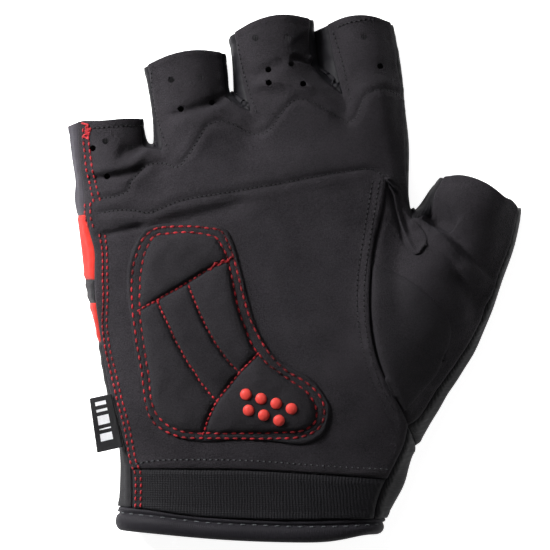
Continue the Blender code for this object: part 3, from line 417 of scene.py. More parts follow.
def cuff_grid(hem_row):
    """Grid of the wrist's elastic, from the binding to the hem."""
    rows = []
    count = len(hem_row) - 1
    for step in range(CUFF_ROWS + 1):
        row = []
        for column in range(count + 1):
            across, along = shares(hem_row[column])
            low = read_off(BINDING_TOP, across) + 0.0005
            height = mix(low, along, step / CUFF_ROWS)
            left = read_off(LITTLE_SIDE, height)
            right = read_off(PALM_SIDE, height)
            point = place(mix(left, right, column / count), height)
            point.z = palm_height(point) + fold_height(point)
            row.append(point)
        rows.append(row)
    rows[-1] = [point.copy() for point in hem_row]
    return rows


def finger_end(finger, side, step):
    """Seam and outline points of one side of a finger at a step."""
    outer = {(0, 0): (LITTLE_SIDE, 0.662, 0.784), (3, 1): (INDEX_SIDE, 0.814, 0.977)}
    if (finger, side) in outer:
        table, crotch, rim = outer[finger, side]
        along = mix(crotch, rim, step)
        return side_point(table, along), side_point(table, along, 2)
    if side == 0:
        table = NOTCHES[finger - 1]
        return paired_point(table, step, 7), paired_point(table, step, 5)
    return paired_point(NOTCHES[finger], step, 1), paired_point(NOTCHES[finger], step, 3)


def finger_row(finger, step):
    """Points across a finger's front at a step from crotch to rim."""
    _, bow, crown_share = FINGERS[finger]
    left, _ = finger_end(finger, 0, step)
    right, _ = finger_end(finger, 1, step)
    sink = VALLEY_HEIGHT - (VALLEY_HEIGHT - SEAM_HEIGHT) * smooth(step / 0.35)
    left_height = SEAM_HEIGHT if finger == 0 else sink
    right_height = SEAM_HEIGHT if finger == 3 else sink
    crown = FINGER_CROWN * crown_share * mix(1.12, 1.0, smooth(step))
    row = []
    for column in range(FINGER_COLUMNS + 1):
        share = column / FINGER_COLUMNS
        away = abs(2 * share - 1)
        point = mix(left, right, share)
        point.y += bow * GLOVE_LENGTH * step * step * (1.0 - away * away)
        base = mix(left_height, right_height, share)
        point.z = base + (crown - base) * (1.0 - away ** FINGER_POWER)
        if 0 < column < FINGER_COLUMNS:
            point.z += fold_height(point)
        row.append(point)
    return row


def finger_grid(finger):
    """Grid of a finger's front."""
    return [finger_row(finger, step / FINGER_ROWS) for step in range(FINGER_ROWS + 1)]


def band_grid():
    """Grid between the knuckle line and the crotches."""
    lower = knuckle_row()
    upper = []
    for finger in range(4):
        row = finger_row(finger, 0.0)
        upper.extend(row if finger == 0 else row[1:])
    left = []
    right = []
    for share in BAND_ROWS:
        along = mix(shares(lower[0])[1], shares(upper[0])[1], share)
        left.append(side_point(LITTLE_SIDE, along))
        along = mix(shares(lower[-1])[1], shares(upper[-1])[1], share)
        right.append(side_point(INDEX_SIDE, along))
    flat_lower = [flat(point) for point in lower]
    flat_upper = [flat(point) for point in upper]
    left[0], left[-1] = flat_lower[0], flat_upper[0]
    right[0], right[-1] = flat_lower[-1], flat_upper[-1]
    rows = span_patch(flat_lower, flat_upper, left, right, BAND_ROWS)
    for share, row in zip(BAND_ROWS, rows):
        for point, crotch in zip(row, upper):
            palm = palm_height(point) + fold_height(point)
            point.z = mix(palm, crotch.z, smooth(share) ** 2.0)
    rows[-1] = [point.copy() for point in upper]
    return rows


def thumb_lines(palm, band):
    """Inner and outer lines of the thumb's front from the palm to the rim."""
    inner = [point.copy() for point in band[0][PALM_COLUMNS:]]
    steps = THUMB_STEPS - len(inner)
    inner_edges = []
    for step in range(steps + 1):
        share = step / steps
        point = paired_point(THUMB_INNER, share, 1)
        point.z = mix(VALLEY_HEIGHT, SEAM_HEIGHT, smooth(share / 0.5))
        inner.append(point)
        inner_edges.append(paired_point(THUMB_INNER, share, 3))
    outer = []
    outer_edges = []
    start = palm[THUMB_ROW][-1]
    for step in range(THUMB_STEPS + 1):
        share = step / THUMB_STEPS
        point = paired_point(THUMB_OUTER, share, 1)
        point.z = mix(start.z, SEAM_HEIGHT * 0.95, smooth(share / 0.25))
        outer.append(point)
        outer_edges.append(paired_point(THUMB_OUTER, share, 3))
    outer[0] = start.copy()
    return inner, inner_edges, outer, outer_edges


def thumb_grid(palm, inner, outer):
    """Grid of the thumb's front; rows run from the palm to the rim."""
    root = [palm[row][-1].copy() for row in range(len(palm) - 1, THUMB_ROW - 1, -1)]
    count = len(root) - 1
    rim = []
    axis = Vector((0.39, 0.92, 0.0))  # the way that the thumb points
    for column in range(count + 1):
        share = column / count
        away = abs(2 * share - 1)
        point = mix(inner[-1], outer[-1], share)
        point += axis * 0.030 * GLOVE_LENGTH * (1.0 - away * away)
        point.z += (THUMB_CROWN - SEAM_HEIGHT) * (1.0 - away ** FINGER_POWER)
        rim.append(point)
    rows = span_patch(root, rim, inner, outer)
    for number, row in enumerate(rows):
        up = number / (len(rows) - 1)
        for column, point in enumerate(row):
            over = column / count
            swell = math.sin(math.pi * over) * math.sin(math.pi * min(up, 0.999))
            point.z += THUMB_SWELL * swell
            if 0 < column < count and number > 0:
                point.z += fold_height(point)
    return rows


def right_hand_ways(edges):
    """Flat directions at the right hand of a line, one for each point."""
    ways = []
    last = len(edges) - 1
    for number in range(last + 1):
        run = edges[min(number + 1, last)] - edges[max(number - 1, 0)]
        ways.append(Vector((run.y, -run.x, 0.0)))
    return ways


def turn_strip(seams, edges, ways):
    """Grid of a side's strip from the front seam round to the back seam.

    Returns the rows and the points of the lower seam.
    """
    rows = []
    feet = []
    for number, seam in enumerate(seams):
        inward = ways[number].normalized()
        rim = flat(edges[number]) + inward * CLOTH
        foot = rim + inward * UNDER_TURN
        floor = back_height(shares(seam)[1])
        middle = floor + (seam.z - floor) * 0.45
        row = []
        for step in range(3):
            point = mix(seam, rim, step / 2)
            point.z = mix(seam.z, middle, step / 2)
            row.append(point)
        for step in range(1, 4):
            angle = math.pi / 2 * step / 3
            point = mix(foot, rim, math.cos(angle))
            point.z = floor + (middle - floor) * (1.0 - math.sin(angle))
            row.append(point)
        rows.append(row)
        feet.append(row[-1].copy())
    return rows, feet


def little_strip(cuff, palm, band, finger):
    """Side strip on the little finger's side and its row numbers."""
    seams = [row[0] for row in cuff + palm[1:] + band[1:] + finger[1:]]
    edges = [side_point(LITTLE_SIDE, shares(seam)[1], 2) for seam in seams]
    return turn_strip(seams, edges, [Vector((1.0, 0.0, 0.0))] * len(seams))


def down_side(rows, finger):
    """Seam and outline points down a finger's right side, short of the crotch."""
    steps = range(FINGER_ROWS, 0, -1)
    edges = [finger_end(finger, 1, step / FINGER_ROWS)[1] for step in steps]
    return [rows[step][-1] for step in steps], edges


def notch_strip(number, left_finger, right_finger):
    """Strip between two fingers, down one side, round and up the other."""
    seams, edges = down_side(left_finger, number)
    for step in range(FINGER_ROWS + 1):
        seams.append(right_finger[step][0])
        edges.append(finger_end(number + 1, 0, step / FINGER_ROWS)[1])
    return turn_strip(seams, edges, right_hand_ways(edges))


def web_strip(index, band, inner, inner_edges):
    """Strip from the forefinger's tip round the crotch to the thumb's rim."""
    seams, edges = down_side(index, 3)
    for row in reversed(band):
        seams.append(row[-1])
        edges.append(side_point(INDEX_SIDE, shares(row[-1])[1], 2))
    seams += inner[-len(inner_edges):]
    edges += inner_edges
    return turn_strip(seams, edges, right_hand_ways(edges))


def cuff_side_strip(cuff, palm, thumb_edge):
    """Side strip at the wrist on the thumb's side."""
    seams = [row[-1] for row in cuff]
    seams += [palm[row][-1] for row in range(1, THUMB_ROW + 1)]
    edges = []
    last = shares(thumb_edge)[1]
    first = shares(seams[0])[1]
    for number in range(len(seams)):
        along = mix(first, last, number / (len(seams) - 1))
        edges.append(side_point(PALM_SIDE, along, 2))
    edges[-1] = thumb_edge
    return turn_strip(seams, edges, [Vector((-1.0, 0.25, 0.0))] * len(seams))


def thumb_back_grid(outer, outer_edges, web_feet, crotch_foot):
    """Grid of the thumb's back, from the outer seam to the back's seam."""
    ways = [-way for way in right_hand_ways(outer_edges)]
    strip, feet = turn_strip(outer, outer_edges, ways)
    line = [place(across, along, CLOTH) for across, along in BACK_THUMB_SEAM]
    line.append(crotch_foot)
    steps = len(outer) - 1
    lower = round(steps * 0.6)
    inner = spread(line, lower)
    inner += spread([crotch_foot] + web_feet, steps - lower)[1:]
    rows = []
    for number, row in enumerate(strip):
        new_row = list(row)
        for share in (0.34, 0.67, 1.0):
            point = mix(feet[number], inner[number], share)
            point.z = back_height(shares(point)[1])
            new_row.append(point)
        rows.append(new_row)
    return rows


def back_grids(left_feet, cuff_feet, notch_feet, web_feet, crotch_foot):
    """Grids of the back: wrist to crotches, then one for each finger."""
    wide = 4 * 2
    steps = len(left_feet) - 1 - FINGER_ROWS
    line = list(cuff_feet)
    line += [place(across, along, CLOTH) for across, along in BACK_THUMB_SEAM]
    line.append(crotch_foot)
    index_feet = web_feet[:FINGER_ROWS + len(BAND_ROWS)]
    band_feet = list(reversed(index_feet))[:len(BAND_ROWS)]
    count = steps - (len(BAND_ROWS) - 1)
    right = spread(line, count - 1) + band_feet
    upper = [left_feet[steps]]
    for number in range(4):
        end = notch_feet[number][FINGER_ROWS] if number < 3 else band_feet[-1]
        start = upper[-1]
        for share in (0.5, 1.0):
            upper.append(mix(start, end, share))
    chosen = list(range(0, count - 1, 2)) + list(range(count - 1, steps + 1))
    left = [left_feet[row] for row in chosen]
    picked = [right[row] for row in chosen]
    lower = [mix(left[0], picked[0], column / wide) for column in range(wide + 1)]
    body = span_patch(lower, upper, left, picked)
    for row in body:
        for point in row:
            point.z = back_height(shares(point)[1])
    grids = [body]
    for number in range(4):
        rows = []
        for step in BACK_STEPS:
            if number == 0:
                start = left_feet[steps + step]
            else:
                start = notch_feet[number - 1][FINGER_ROWS + step]
            if number == 3:
                end = index_feet[FINGER_ROWS - step]
            else:
                end = notch_feet[number][FINGER_ROWS - step]
            row = [mix(start, end, share) for share in (0.0, 0.5, 1.0)]
            for point in row:
                point.z = CLOTH
            rows.append(row)
        grids.append(rows)
    return grids


def binding_grid():
    """Closed rows of the wrist's binding, from its top rim to its lower rim."""
    rows = []
    for share in (0.0, 0.5, 1.0):
        front = []
        for step in range(25):
            angle = math.pi * (1.0 - step / 24)
            reach = math.copysign(abs(math.cos(angle)) ** (2 / ARCH_POWER), math.cos(angle))
            rise = abs(math.sin(angle)) ** (2 / ARCH_POWER)
            guess = -0.09 + reach * 0.30
            along = mix(read_off(BINDING_TOP, guess), read_off(BINDING_BOTTOM, guess), share)
            centre, half, edge, crown = palm_arch(along)
            point = place(0.0, along, edge + (crown - edge) * rise)
            point.x = centre + half * reach
            front.append(point)
        floor = back_height(0.0)
        back = []
        for end, way in ((front[-1], -1.0), (front[0], 1.0)):
            turn = []
            for step in range(1, 4):
                angle = math.pi / 2 * step / 3
                point = end.copy()
                point.x += way * UNDER_TURN * (1.0 - math.cos(angle))
                point.z = floor + (end.z - floor) * (1.0 - math.sin(angle))
                turn.append(point)
            back.append(turn)
        middle = [mix(back[0][-1], back[1][-1], step / 8) for step in range(1, 8)]
        rows.append(front + back[0] + middle + list(reversed(back[1])))
    return rows


MM = 1000.0  # millimetres in a metre
DRAWN_LENGTH = 527.0  # length of the drawn outline

# Lines are drawn from the upper left corner of a 550 by 550 drawing of the
# front, on which the glove is DRAWN_LENGTH long. Each fold: points, height and
# reach in millimetres; a height below zero is a crease.
CREASES = (
    (((84, 180), (98, 179), (120, 176), (131, 174), (142, 169), (151, 163)), -1.70, 1.3),
    (((92, 168), (110, 170), (128, 167), (142, 159), (152, 149)), 1.10, 1.6),
    (((116, 150), (130, 154), (142, 150), (150, 142)), -1.20, 2.6),
    (((98, 234), (107, 235), (122, 232), (136, 229), (150, 226)), -1.60, 1.2),
    (((150, 226), (188, 219), (226, 208), (262, 200)), -1.10, 2.6),
    (((96, 222), (140, 217), (190, 208), (240, 199)), 0.70, 2.4),
    (((164, 117), (180, 115), (193, 111), (212, 105), (231, 97)), -1.60, 1.6),
    (((172, 123), (200, 119), (232, 108)), 0.45, 2.2),
    (((287, 60), (294, 60), (302, 62), (316, 69)), -1.40, 0.9),
    (((296, 36), (305, 46), (312, 58)), -1.30, 3.6),
    (((250, 79), (262, 75), (275, 68), (288, 61)), -1.10, 1.7),
    (((250, 87), (264, 85), (278, 84), (297, 89), (318, 94)), 0.90, 1.4),
    (((256, 96), (290, 97)), -0.40, 2.2),
    (((348, 73), (372, 72), (402, 68)), -0.70, 2.8),
    (((421, 216), (432, 213), (444, 219), (452, 228)), -2.90, 3.6),
    (((450, 270), (458, 281), (468, 294), (488, 313)), -1.40, 2.8),
    (((424, 232), (441, 244), (456, 262), (474, 281)), 0.90, 1.8),
    (((386, 186), (397, 206), (406, 226), (415, 243)), -1.50, 1.5),
    (((381.5, 183), (388, 194), (393, 214), (399, 233), (407, 249), (414, 257)), -0.55, 0.5),
    (((452, 310), (470, 326)), 0.45, 2.6),
    (((456, 196), (480, 204), (502, 216)), 0.40, 4.0),
    (((404, 420), (420, 402), (438, 380)), -0.50, 1.8),
    (((338, 250), (346, 300), (350, 350)), -0.45, 5.0),
    (((262, 250), (290, 300), (330, 350)), 0.40, 5.0),
    (((150, 452), (220, 450), (300, 452)), 0.30, 2.4),
    (((345, 400), (370, 425), (385, 450)), -0.40, 3.4),
)

# Folds whose one side lies lower: points, depth and reach in millimetres, the
# lower side being at the left of the line.
STEP_FOLDS = (
    (
        ((414, 221), (424, 223), (435, 229), (445, 239), (460, 254), (474, 267), (494, 287)),
        4.2,
        6.5,
    ),
)

# Corners that lie otherwise than the smooth form: x, y, reach, move right,
# move down.
NUDGES = (
    (84, 127, 14, 0.0, -4.6), (457, 178, 20, 0.0, -3.2), (517, 215, 12, 4.2, -4.0),
    (509, 205, 9, 0.5, -6.0),
)

# Heights and reaches of the cloth in millimetres: how a cloth stands at its
# seams, the palm's edge over the thumb, and the roll of the rims.
SUEDE_LIFT = 0.26
STRETCH_LIFT = -0.20
SIDE_LIFT = -0.05
LIFT_REACH = 2.4
SIDE_RIDGE = (0.30, 0.55)
PALM_STEP = (0.45, 2.2)
THUMB_SINK = (0.70, 1.7)
RIM_ROLL = (0.16, 0.8, 1.2)
RIM_DIP = (0.07, 2.4, 0.4)
# Where the tongue covers the seam, which lies calm there, as drawn, and how far.
CALM_SPOT = (402, 190)
CALM_REACH = 4.5

# Sunken lines in millimetres: depth and width, then the height, distance and
# width of the swelling beside them.
SEAM_GROOVE = (0.42, 0.55, 0.20, 1.8, 1.3)
WAVE_GROOVE = (0.40, 0.45, 0.28, 2.0, 1.3)
STITCH_GROOVE = (0.45, 0.55, 0.30, 2.2, 1.4)

WAVE_LINE = (
    (101, 199), (116, 197), (129, 192), (131, 184), (138, 175), (148, 166), (165, 164),
    (178, 168), (190, 155), (205, 130), (213, 124), (225, 122.8), (236, 126.5), (248, 133),
    (257.5, 135.5), (265, 134), (272.4, 128), (281, 115), (293, 102), (306, 101), (317.6, 106),
    (329, 113), (344, 122), (351, 122.4), (357, 117), (360, 109), (363, 101), (367, 95),
    (376, 91), (385, 91), (394, 94), (403, 101),
)
KNUCKLE_STITCH = (
    (104, 213), (120, 210.5), (136.5, 211), (149, 213.5), (161, 209.5), (175, 203.5),
    (189, 199.5), (219, 194.5), (236, 192), (251, 189), (275.5, 185), (293, 181.5), (311, 178),
    (329, 174.5), (346, 172), (360, 169.5), (372, 170), (383, 176),
)
SIDE_SEAM_LEFT = (
    ((84, 131), (84, 140), (85.5, 151), (87.4, 170), (91.3, 187), (94.4, 201)),
    ((86, 206), (86, 217), (89, 226)),
    (
        (100.5, 236), (103.4, 250), (104, 266), (104, 279), (104.6, 299), (103.5, 323),
        (106.5, 349), (111.7, 371), (118.6, 401), (125.4, 426), (131.5, 461), (136.5, 475),
        (136.5, 504),
    ),
)
SIDE_SEAM_RIGHT = (
    ((89, 131), (89.5, 140), (91, 152), (93.5, 170), (97.5, 187), (101, 200)),
    ((91.6, 205), (91.6, 217), (94, 226)),
    (
        (106, 237), (108, 250), (108.6, 279), (108.8, 299), (108, 323), (111.2, 349),
        (116.6, 371), (123.6, 401), (130.3, 426), (136.4, 458), (141.6, 473), (141.6, 504),
    ),
)
BAR_TACK = (
    (84, 124), (90, 126), (86, 128.5), (92, 130), (86, 132), (91, 134), (84.5, 136), (89, 139),
)
PAD_SIDES = (
    (
        (152, 416), (160, 427), (181, 437), (206, 440), (242, 438), (273, 440), (301, 443),
        (319, 436.5), (327, 427),
    ),
    ((142, 233), (147.6, 228), (166, 224.5), (196.5, 224), (212, 224.6), (222, 227)),
    (
        (152, 416), (147.6, 407.5), (140, 372), (134, 340), (131.5, 314), (128, 290), (129, 264),
        (136, 243), (142, 233),
    ),
    (
        (327, 427), (330, 407.5), (322, 391), (310, 377), (296, 369), (282, 361), (270, 349),
        (259, 331), (250, 305), (244, 280), (238, 256), (233, 241), (228.5, 232.5), (222, 227),
    ),
)
PAD_OUTER_ROW = (
    (143.7, 240), (157, 229), (189, 227), (212, 229), (221, 231), (227, 240), (234, 257.5),
    (241, 285), (250, 317), (261, 340), (273, 357), (288, 371), (304, 380), (317.5, 392),
    (324, 407.5), (321, 423), (310, 432), (288, 436.5), (227, 436.5), (200, 436.5), (181, 435),
    (161, 426), (149, 410.5), (143, 371), (138, 342), (134, 311), (133, 286.5), (135, 264),
    (143.7, 240),
)
PAD_INNER_ROW = (
    (153, 239), (161, 235), (189, 233), (212, 236), (218, 240), (227, 256), (232, 277),
    (239, 309.5), (250, 340), (256, 350), (270, 365), (288, 378), (304, 389), (313, 401),
    (316, 412), (313, 422), (301, 429), (273, 431), (206, 431.5), (181, 429), (164, 420),
    (154, 404), (149.5, 371), (144.8, 342), (141, 309.5), (142, 276), (146, 254), (153, 239),
)
PAD_DIVIDERS = (
    ((140, 310), (158, 300), (189, 282), (212, 268), (229, 260)),
    ((159, 302), (169, 323), (181, 348), (195, 371), (209, 391), (218, 400)),
    ((190, 286.5), (200, 311), (212, 335.5), (221, 349), (230, 361.5), (240, 372)),
    ((258, 353), (240, 372), (218, 400), (210, 415), (204, 432)),
)
PAD_TACK = ((231, 258), (226, 263), (224, 259.5), (219, 266), (216, 263), (212, 269.5))
CUFF_HEM_STITCH = (
    (137.5, 462.6), (160, 459), (200, 458), (240, 458.5), (269, 460), (321, 464), (372, 467),
    (386, 468),
)
BINDING_STITCH = (
    (118, 510.5), (124, 512), (163, 516), (198, 520), (232, 522.5), (252, 523), (298, 525),
    (340, 525), (376, 523.5),
)
PALM_EDGE = (
    (384, 180), (379, 209.5), (374, 241), (369, 278), (369, 315), (375, 352), (384, 381.5),
    (397, 407), (402, 418),
)
THUMB_STITCH = (
    (374, 266), (386, 271), (397, 276), (417, 289), (434, 302), (445, 319), (448, 333),
    (443, 356), (434, 374), (404, 407),
)
FINGER_SEAMS = (
    ((152, 72), (152.5, 90), (156, 112), (161, 130), (168, 150)),
    ((238, 44), (243, 70), (249, 90), (256, 112)),
    ((333, 33), (339, 52), (343, 67), (346.5, 83), (350, 100)),
)
RIM_STITCH = (
    ((94, 129), (110, 128), (128, 126.5), (142, 125.5)),
    ((338, 28), (350, 24), (368, 21), (384, 22)),
)


def drawn(x, y):
    """Point of the glove from a point of the drawing of the front."""
    return place((x - 293.5) / 455.0, (541.0 - y) / DRAWN_LENGTH)


def run_of(points, step):
    """Smooth flat line through drawn points, at a step in metres."""
    table = [(number, float(x), float(y)) for number, (x, y) in enumerate(points)]
    fine = []
    for number in range(10 * (len(points) - 1) + 1):
        at = number / 10
        fine.append(drawn(read_off(table, at, 1), read_off(table, at, 2)))
    length = sum((b - a).length for a, b in zip(fine, fine[1:]))
    return spread(fine, max(int(round(length / step)), 2))


def search_tree(spots):
    """Search tree over spots."""
    tree = KDTree(len(spots))
    for number, spot in enumerate(spots):
        tree.insert(spot, number)
    tree.balance()
    return tree


def flat_tree(lines):
    """Search tree over the flat points of drawn lines."""
    return search_tree([flat(spot) for line in lines for spot in run_of(line, 0.0004)])


def away_from(tree, x, y):
    """Flat distance from the nearest point of a search tree."""
    return tree.find(Vector((x, y, 0.0)))[2]


def new_group(name, inputs, outputs):
    """Empty shader node group with named sockets; returns it and its two ends."""
    group = bpy.data.node_groups.new(name, "ShaderNodeTree")
    for label, kind, value in inputs:
        socket = group.interface.new_socket(name=label, in_out="INPUT", socket_type=kind)
        socket.default_value = value
    for label, kind in outputs:
        group.interface.new_socket(name=label, in_out="OUTPUT", socket_type=kind)
    return group, group.nodes.new("NodeGroupInput"), group.nodes.new("NodeGroupOutput")


def math_node(tree, operation, first, second=None):
    """Math node over two sockets or numbers; returns its output."""
    node = tree.nodes.new("ShaderNodeMath")
    node.operation = operation
    for slot, value in enumerate((first, second)):
        if value is None:
            continue
        if isinstance(value, (int, float)):
            node.inputs[slot].default_value = value
        else:
            tree.links.new(value, node.inputs[slot])
    return node.outputs[0]


def noise_node(tree, coordinates, scale, detail, roughness=0.6):
    """Noise over coordinates; scale is a socket or a number."""
    node = tree.nodes.new("ShaderNodeTexNoise")
    tree.links.new(coordinates, node.inputs["Vector"])
    if isinstance(scale, (int, float)):
        node.inputs["Scale"].default_value = scale
    else:
        tree.links.new(scale, node.inputs["Scale"])
    node.inputs["Detail"].default_value = detail
    node.inputs["Roughness"].default_value = roughness
    return node.outputs["Fac"]


def tint_node(tree, colour, amount):
    """Colour made lighter or darker by an amount around one half."""
    node = tree.nodes.new("ShaderNodeHueSaturation")
    tree.links.new(colour, node.inputs["Color"])
    tree.links.new(amount, node.inputs["Value"])
    return node.outputs[0]


def scaled(tree, value, factor):
    """A value times a factor, as a node's output."""
    return math_node(tree, "MULTIPLY", value, factor)


def blotch_group():
    """Broad wear and fine fibre variation of a cloth's colour."""
    if "cloth_blotches" in bpy.data.node_groups:
        return bpy.data.node_groups["cloth_blotches"]
    group, start, end = new_group(
        "cloth_blotches",
        (
            ("Colour", "NodeSocketColor", (0.5, 0.5, 0.5, 1.0)),
            ("Wear", "NodeSocketFloat", 0.3),
            ("Fibre", "NodeSocketFloat", 0.4),
        ),
        (("Colour", "NodeSocketColor"), ("Roughness Change", "NodeSocketFloat")),
    )
    place_in = group.nodes.new("ShaderNodeTexCoord").outputs["Object"]
    broad = noise_node(group, place_in, 90.0, 3.0)
    fine = noise_node(group, place_in, 2600.0, 2.0, 0.7)
    wear = scaled(group, math_node(group, "SUBTRACT", broad, 0.5), start.outputs["Wear"])
    fibre = scaled(group, math_node(group, "SUBTRACT", fine, 0.5), start.outputs["Fibre"])
    total = math_node(group, "ADD", math_node(group, "ADD", wear, fibre), 0.5)
    value = scaled(group, total, 2.0)
    group.links.new(tint_node(group, start.outputs["Colour"], value), end.inputs["Colour"])
    group.links.new(scaled(group, wear, -0.5), end.inputs["Roughness Change"])
    return group


def nap_group():
    """Short brushed nap: a fine uneven height."""
    if "brushed_nap" in bpy.data.node_groups:
        return bpy.data.node_groups["brushed_nap"]
    group, start, end = new_group(
        "brushed_nap",
        (("Scale", "NodeSocketFloat", 2200.0),),
        (("Height", "NodeSocketFloat"),),
    )
    place_in = group.nodes.new("ShaderNodeTexCoord").outputs["Object"]
    fine = noise_node(group, place_in, start.outputs["Scale"], 3.0, 0.75)
    coarse = noise_node(group, place_in, scaled(group, start.outputs["Scale"], 0.18), 2.0)
    total = math_node(group, "ADD", fine, scaled(group, coarse, 0.8))
    group.links.new(total, end.inputs["Height"])
    return group


def knit_group():
    """Rows of small knitted loops, as a height; one count a metre each way."""
    if "knit_rows" in bpy.data.node_groups:
        return bpy.data.node_groups["knit_rows"]
    group, start, end = new_group(
        "knit_rows",
        (
            ("Across", "NodeSocketFloat", 1800.0),
            ("Along", "NodeSocketFloat", 2200.0),
            ("Unevenness", "NodeSocketFloat", 0.4),
        ),
        (("Height", "NodeSocketFloat"),),
    )
    place_in = group.nodes.new("ShaderNodeTexCoord").outputs["Object"]
    parts = group.nodes.new("ShaderNodeSeparateXYZ")
    group.links.new(place_in, parts.inputs[0])
    wobble = noise_node(group, place_in, 260.0, 2.0)
    shift = scaled(group, wobble, start.outputs["Unevenness"])
    over = math_node(group, "ADD", parts.outputs["X"], scaled(group, parts.outputs["Z"], 0.6))
    across = scaled(group, over, start.outputs["Across"])
    along = scaled(group, parts.outputs["Y"], start.outputs["Along"])
    across = scaled(group, math_node(group, "ADD", across, shift), 2 * math.pi)
    along = scaled(group, math_node(group, "ADD", along, shift), 2 * math.pi)
    first = math_node(group, "SINE", across)
    second = math_node(group, "SINE", math_node(group, "ADD", along, scaled(group, first, 0.9)))
    total = math_node(group, "ADD", first, scaled(group, second, 0.6))
    height = math_node(group, "ADD", scaled(group, total, 0.3), 0.5)
    group.links.new(height, end.inputs["Height"])
    return group


def fabric(name, colour, surface, pattern, relief, sheen=0.0, sheen_tint=(1.0, 1.0, 1.0)):
    """Cloth material: colour with blotches, and a height from a pattern group.

    The surface holds roughness, wear and fibre, the relief strength and depth.
    """
    if name in bpy.data.materials:
        return bpy.data.materials[name]
    material = bpy.data.materials.new(name)
    material.use_nodes = True
    tree = material.node_tree
    shader = tree.nodes["Principled BSDF"]
    roughness, wear, fibre = surface
    shader.inputs["Roughness"].default_value = roughness
    shader.inputs["Specular IOR Level"].default_value = 0.14
    shader.inputs["Sheen Weight"].default_value = sheen
    shader.inputs["Sheen Roughness"].default_value = 0.45
    shader.inputs["Sheen Tint"].default_value = (*sheen_tint, 1.0)
    blotches = tree.nodes.new("ShaderNodeGroup")
    blotches.node_tree = blotch_group()
    blotches.inputs["Colour"].default_value = (*colour, 1.0)
    blotches.inputs["Wear"].default_value = wear
    blotches.inputs["Fibre"].default_value = fibre
    tree.links.new(blotches.outputs["Colour"], shader.inputs["Base Color"])
    rough = math_node(tree, "ADD", blotches.outputs["Roughness Change"], roughness)
    tree.links.new(rough, shader.inputs["Roughness"])
    weave = tree.nodes.new("ShaderNodeGroup")
    weave.node_tree, values = pattern
    for label, value in values.items():
        weave.inputs[label].default_value = value
    bump = tree.nodes.new("ShaderNodeBump")
    bump.inputs["Strength"].default_value, bump.inputs["Distance"].default_value = relief
    tree.links.new(weave.outputs["Height"], bump.inputs["Height"])
    tree.links.new(bump.outputs["Normal"], shader.inputs["Normal"])
    material.diffuse_color = (*colour, 1.0)
    return material


COOL = (0.86, 0.84, 1.0)

# key: material, colour property or colour, (roughness, wear, fibre), pattern,
# (strength, depth), then a sheen and its tint. One number is the scale of a
# nap; three are the across, along and unevenness of a knit.
FINISHES = {
    "suede": ("suede_black", "suede", (0.90, 0.45, 1.20), (2300,), (1.0, 0.00040), 0.020, COOL),
    "suede_fine": (
        "suede_patch", "patch", (0.92, 0.40, 1.00), (2800,), (1.0, 0.00030), 0.018, COOL),
    "stretch": (
        "stretch_black", "stretch",
        (0.62, 0.25, 0.25), (1500, 1900, 0.5), (0.8, 0.00016), 0.02, COOL),
    "satin": (
        "satin_black", "satin", (0.62, 0.25, 0.15), (2400, 2400, 0.2), (0.5, 0.00006), 0.02, COOL),
    "grey": (
        "stretch_grey", "grey", (0.70, 0.20, 0.25), (1500, 2000, 0.4), (0.7, 0.00012), 0.10, COOL),
    "red": ("stretch_red", "red", (0.68, 0.10, 0.12), (1500, 2000, 0.4), (0.5, 0.00010), 0.05),
    "elastic": (
        "elastic_black", "elastic",
        (0.70, 0.22, 0.35), (1150, 1500, 0.7), (0.7, 0.00022), 0.02, COOL),
    "binding": (
        "binding_black", "binding",
        (0.66, 0.22, 0.40), (1500, 500, 0.4), (0.5, 0.00014), 0.03, COOL),
    "rubber": ("rubber_red", "rubber", (0.42, 0.10, 0.08), (1400,), (0.3, 0.00008)),
    "label": ("label_black", "label", (0.60, 0.10, 0.20), (2600, 2600, 0.1), (0.9, 0.00012)),
    "label_mark": (
        "label_white", (0.62, 0.62, 0.64), (0.60, 0.10, 0.20), (2600, 2600, 0.1), (0.9, 0.00012)),
    "thread_red": ("thread_red", "thread_red", (0.50, 2.20, 0.90), (3400,), (0.8, 0.00010), 0.05),
    "thread_grey": (
        "thread_grey", (0.060, 0.064, 0.068), (0.55, 0.20, 0.50), (3400,), (0.8, 0.00010)),
    "thread_black": (
        "thread_black", (0.020, 0.020, 0.022), (0.40, 0.20, 0.50), (3400,), (0.8, 0.00010)),
    # Dark beads between the stitches: painted shade of the needle holes; the dark red one is partly
    # red fuzz, partly painted shade.
    "pit_red": ("pit_red", (0.050, 0.0035, 0.0060), (0.85, 0.60, 0.60), (2800,), (0.6, 0.00006)),
    "needle_pit": (
        "needle_pit", (0.0012, 0.0011, 0.0012), (0.95, 0.10, 0.10), (2800,), (0.4, 0.00005)),
}


def glove_material(key):
    """Material of one of the glove's finishes."""
    nap = nap_group()
    knit = knit_group()
    name, colour, surface, counts, relief, *sheen = FINISHES[key]
    if isinstance(colour, str):
        colour = getattr(bpy.context.scene.glove_colours, colour)
    if len(counts) == 1:
        pattern = (nap, {"Scale": counts[0]})
    else:
        pattern = (knit, dict(zip(("Across", "Along", "Unevenness"), counts)))
    return fabric(name, colour, surface, pattern, relief, *sheen)


# Forms, skin and search trees that more than one piece needs.
MADE = {}
SKIN_LEVELS = 3
BACK_LEVELS = 2
BINDING_LEVELS = 3
LAID_STEP = 0.0006
PRESS_ROUNDS = 700
PRESS_FULL = 34.0
PRESS_POWER = 0.80
LAPPED_PANELS = ("palm_and_fingers", "thumb_panel", "cuff_side")
SUEDE_PANELS = ("palm_and_fingers", "thumb_panel")


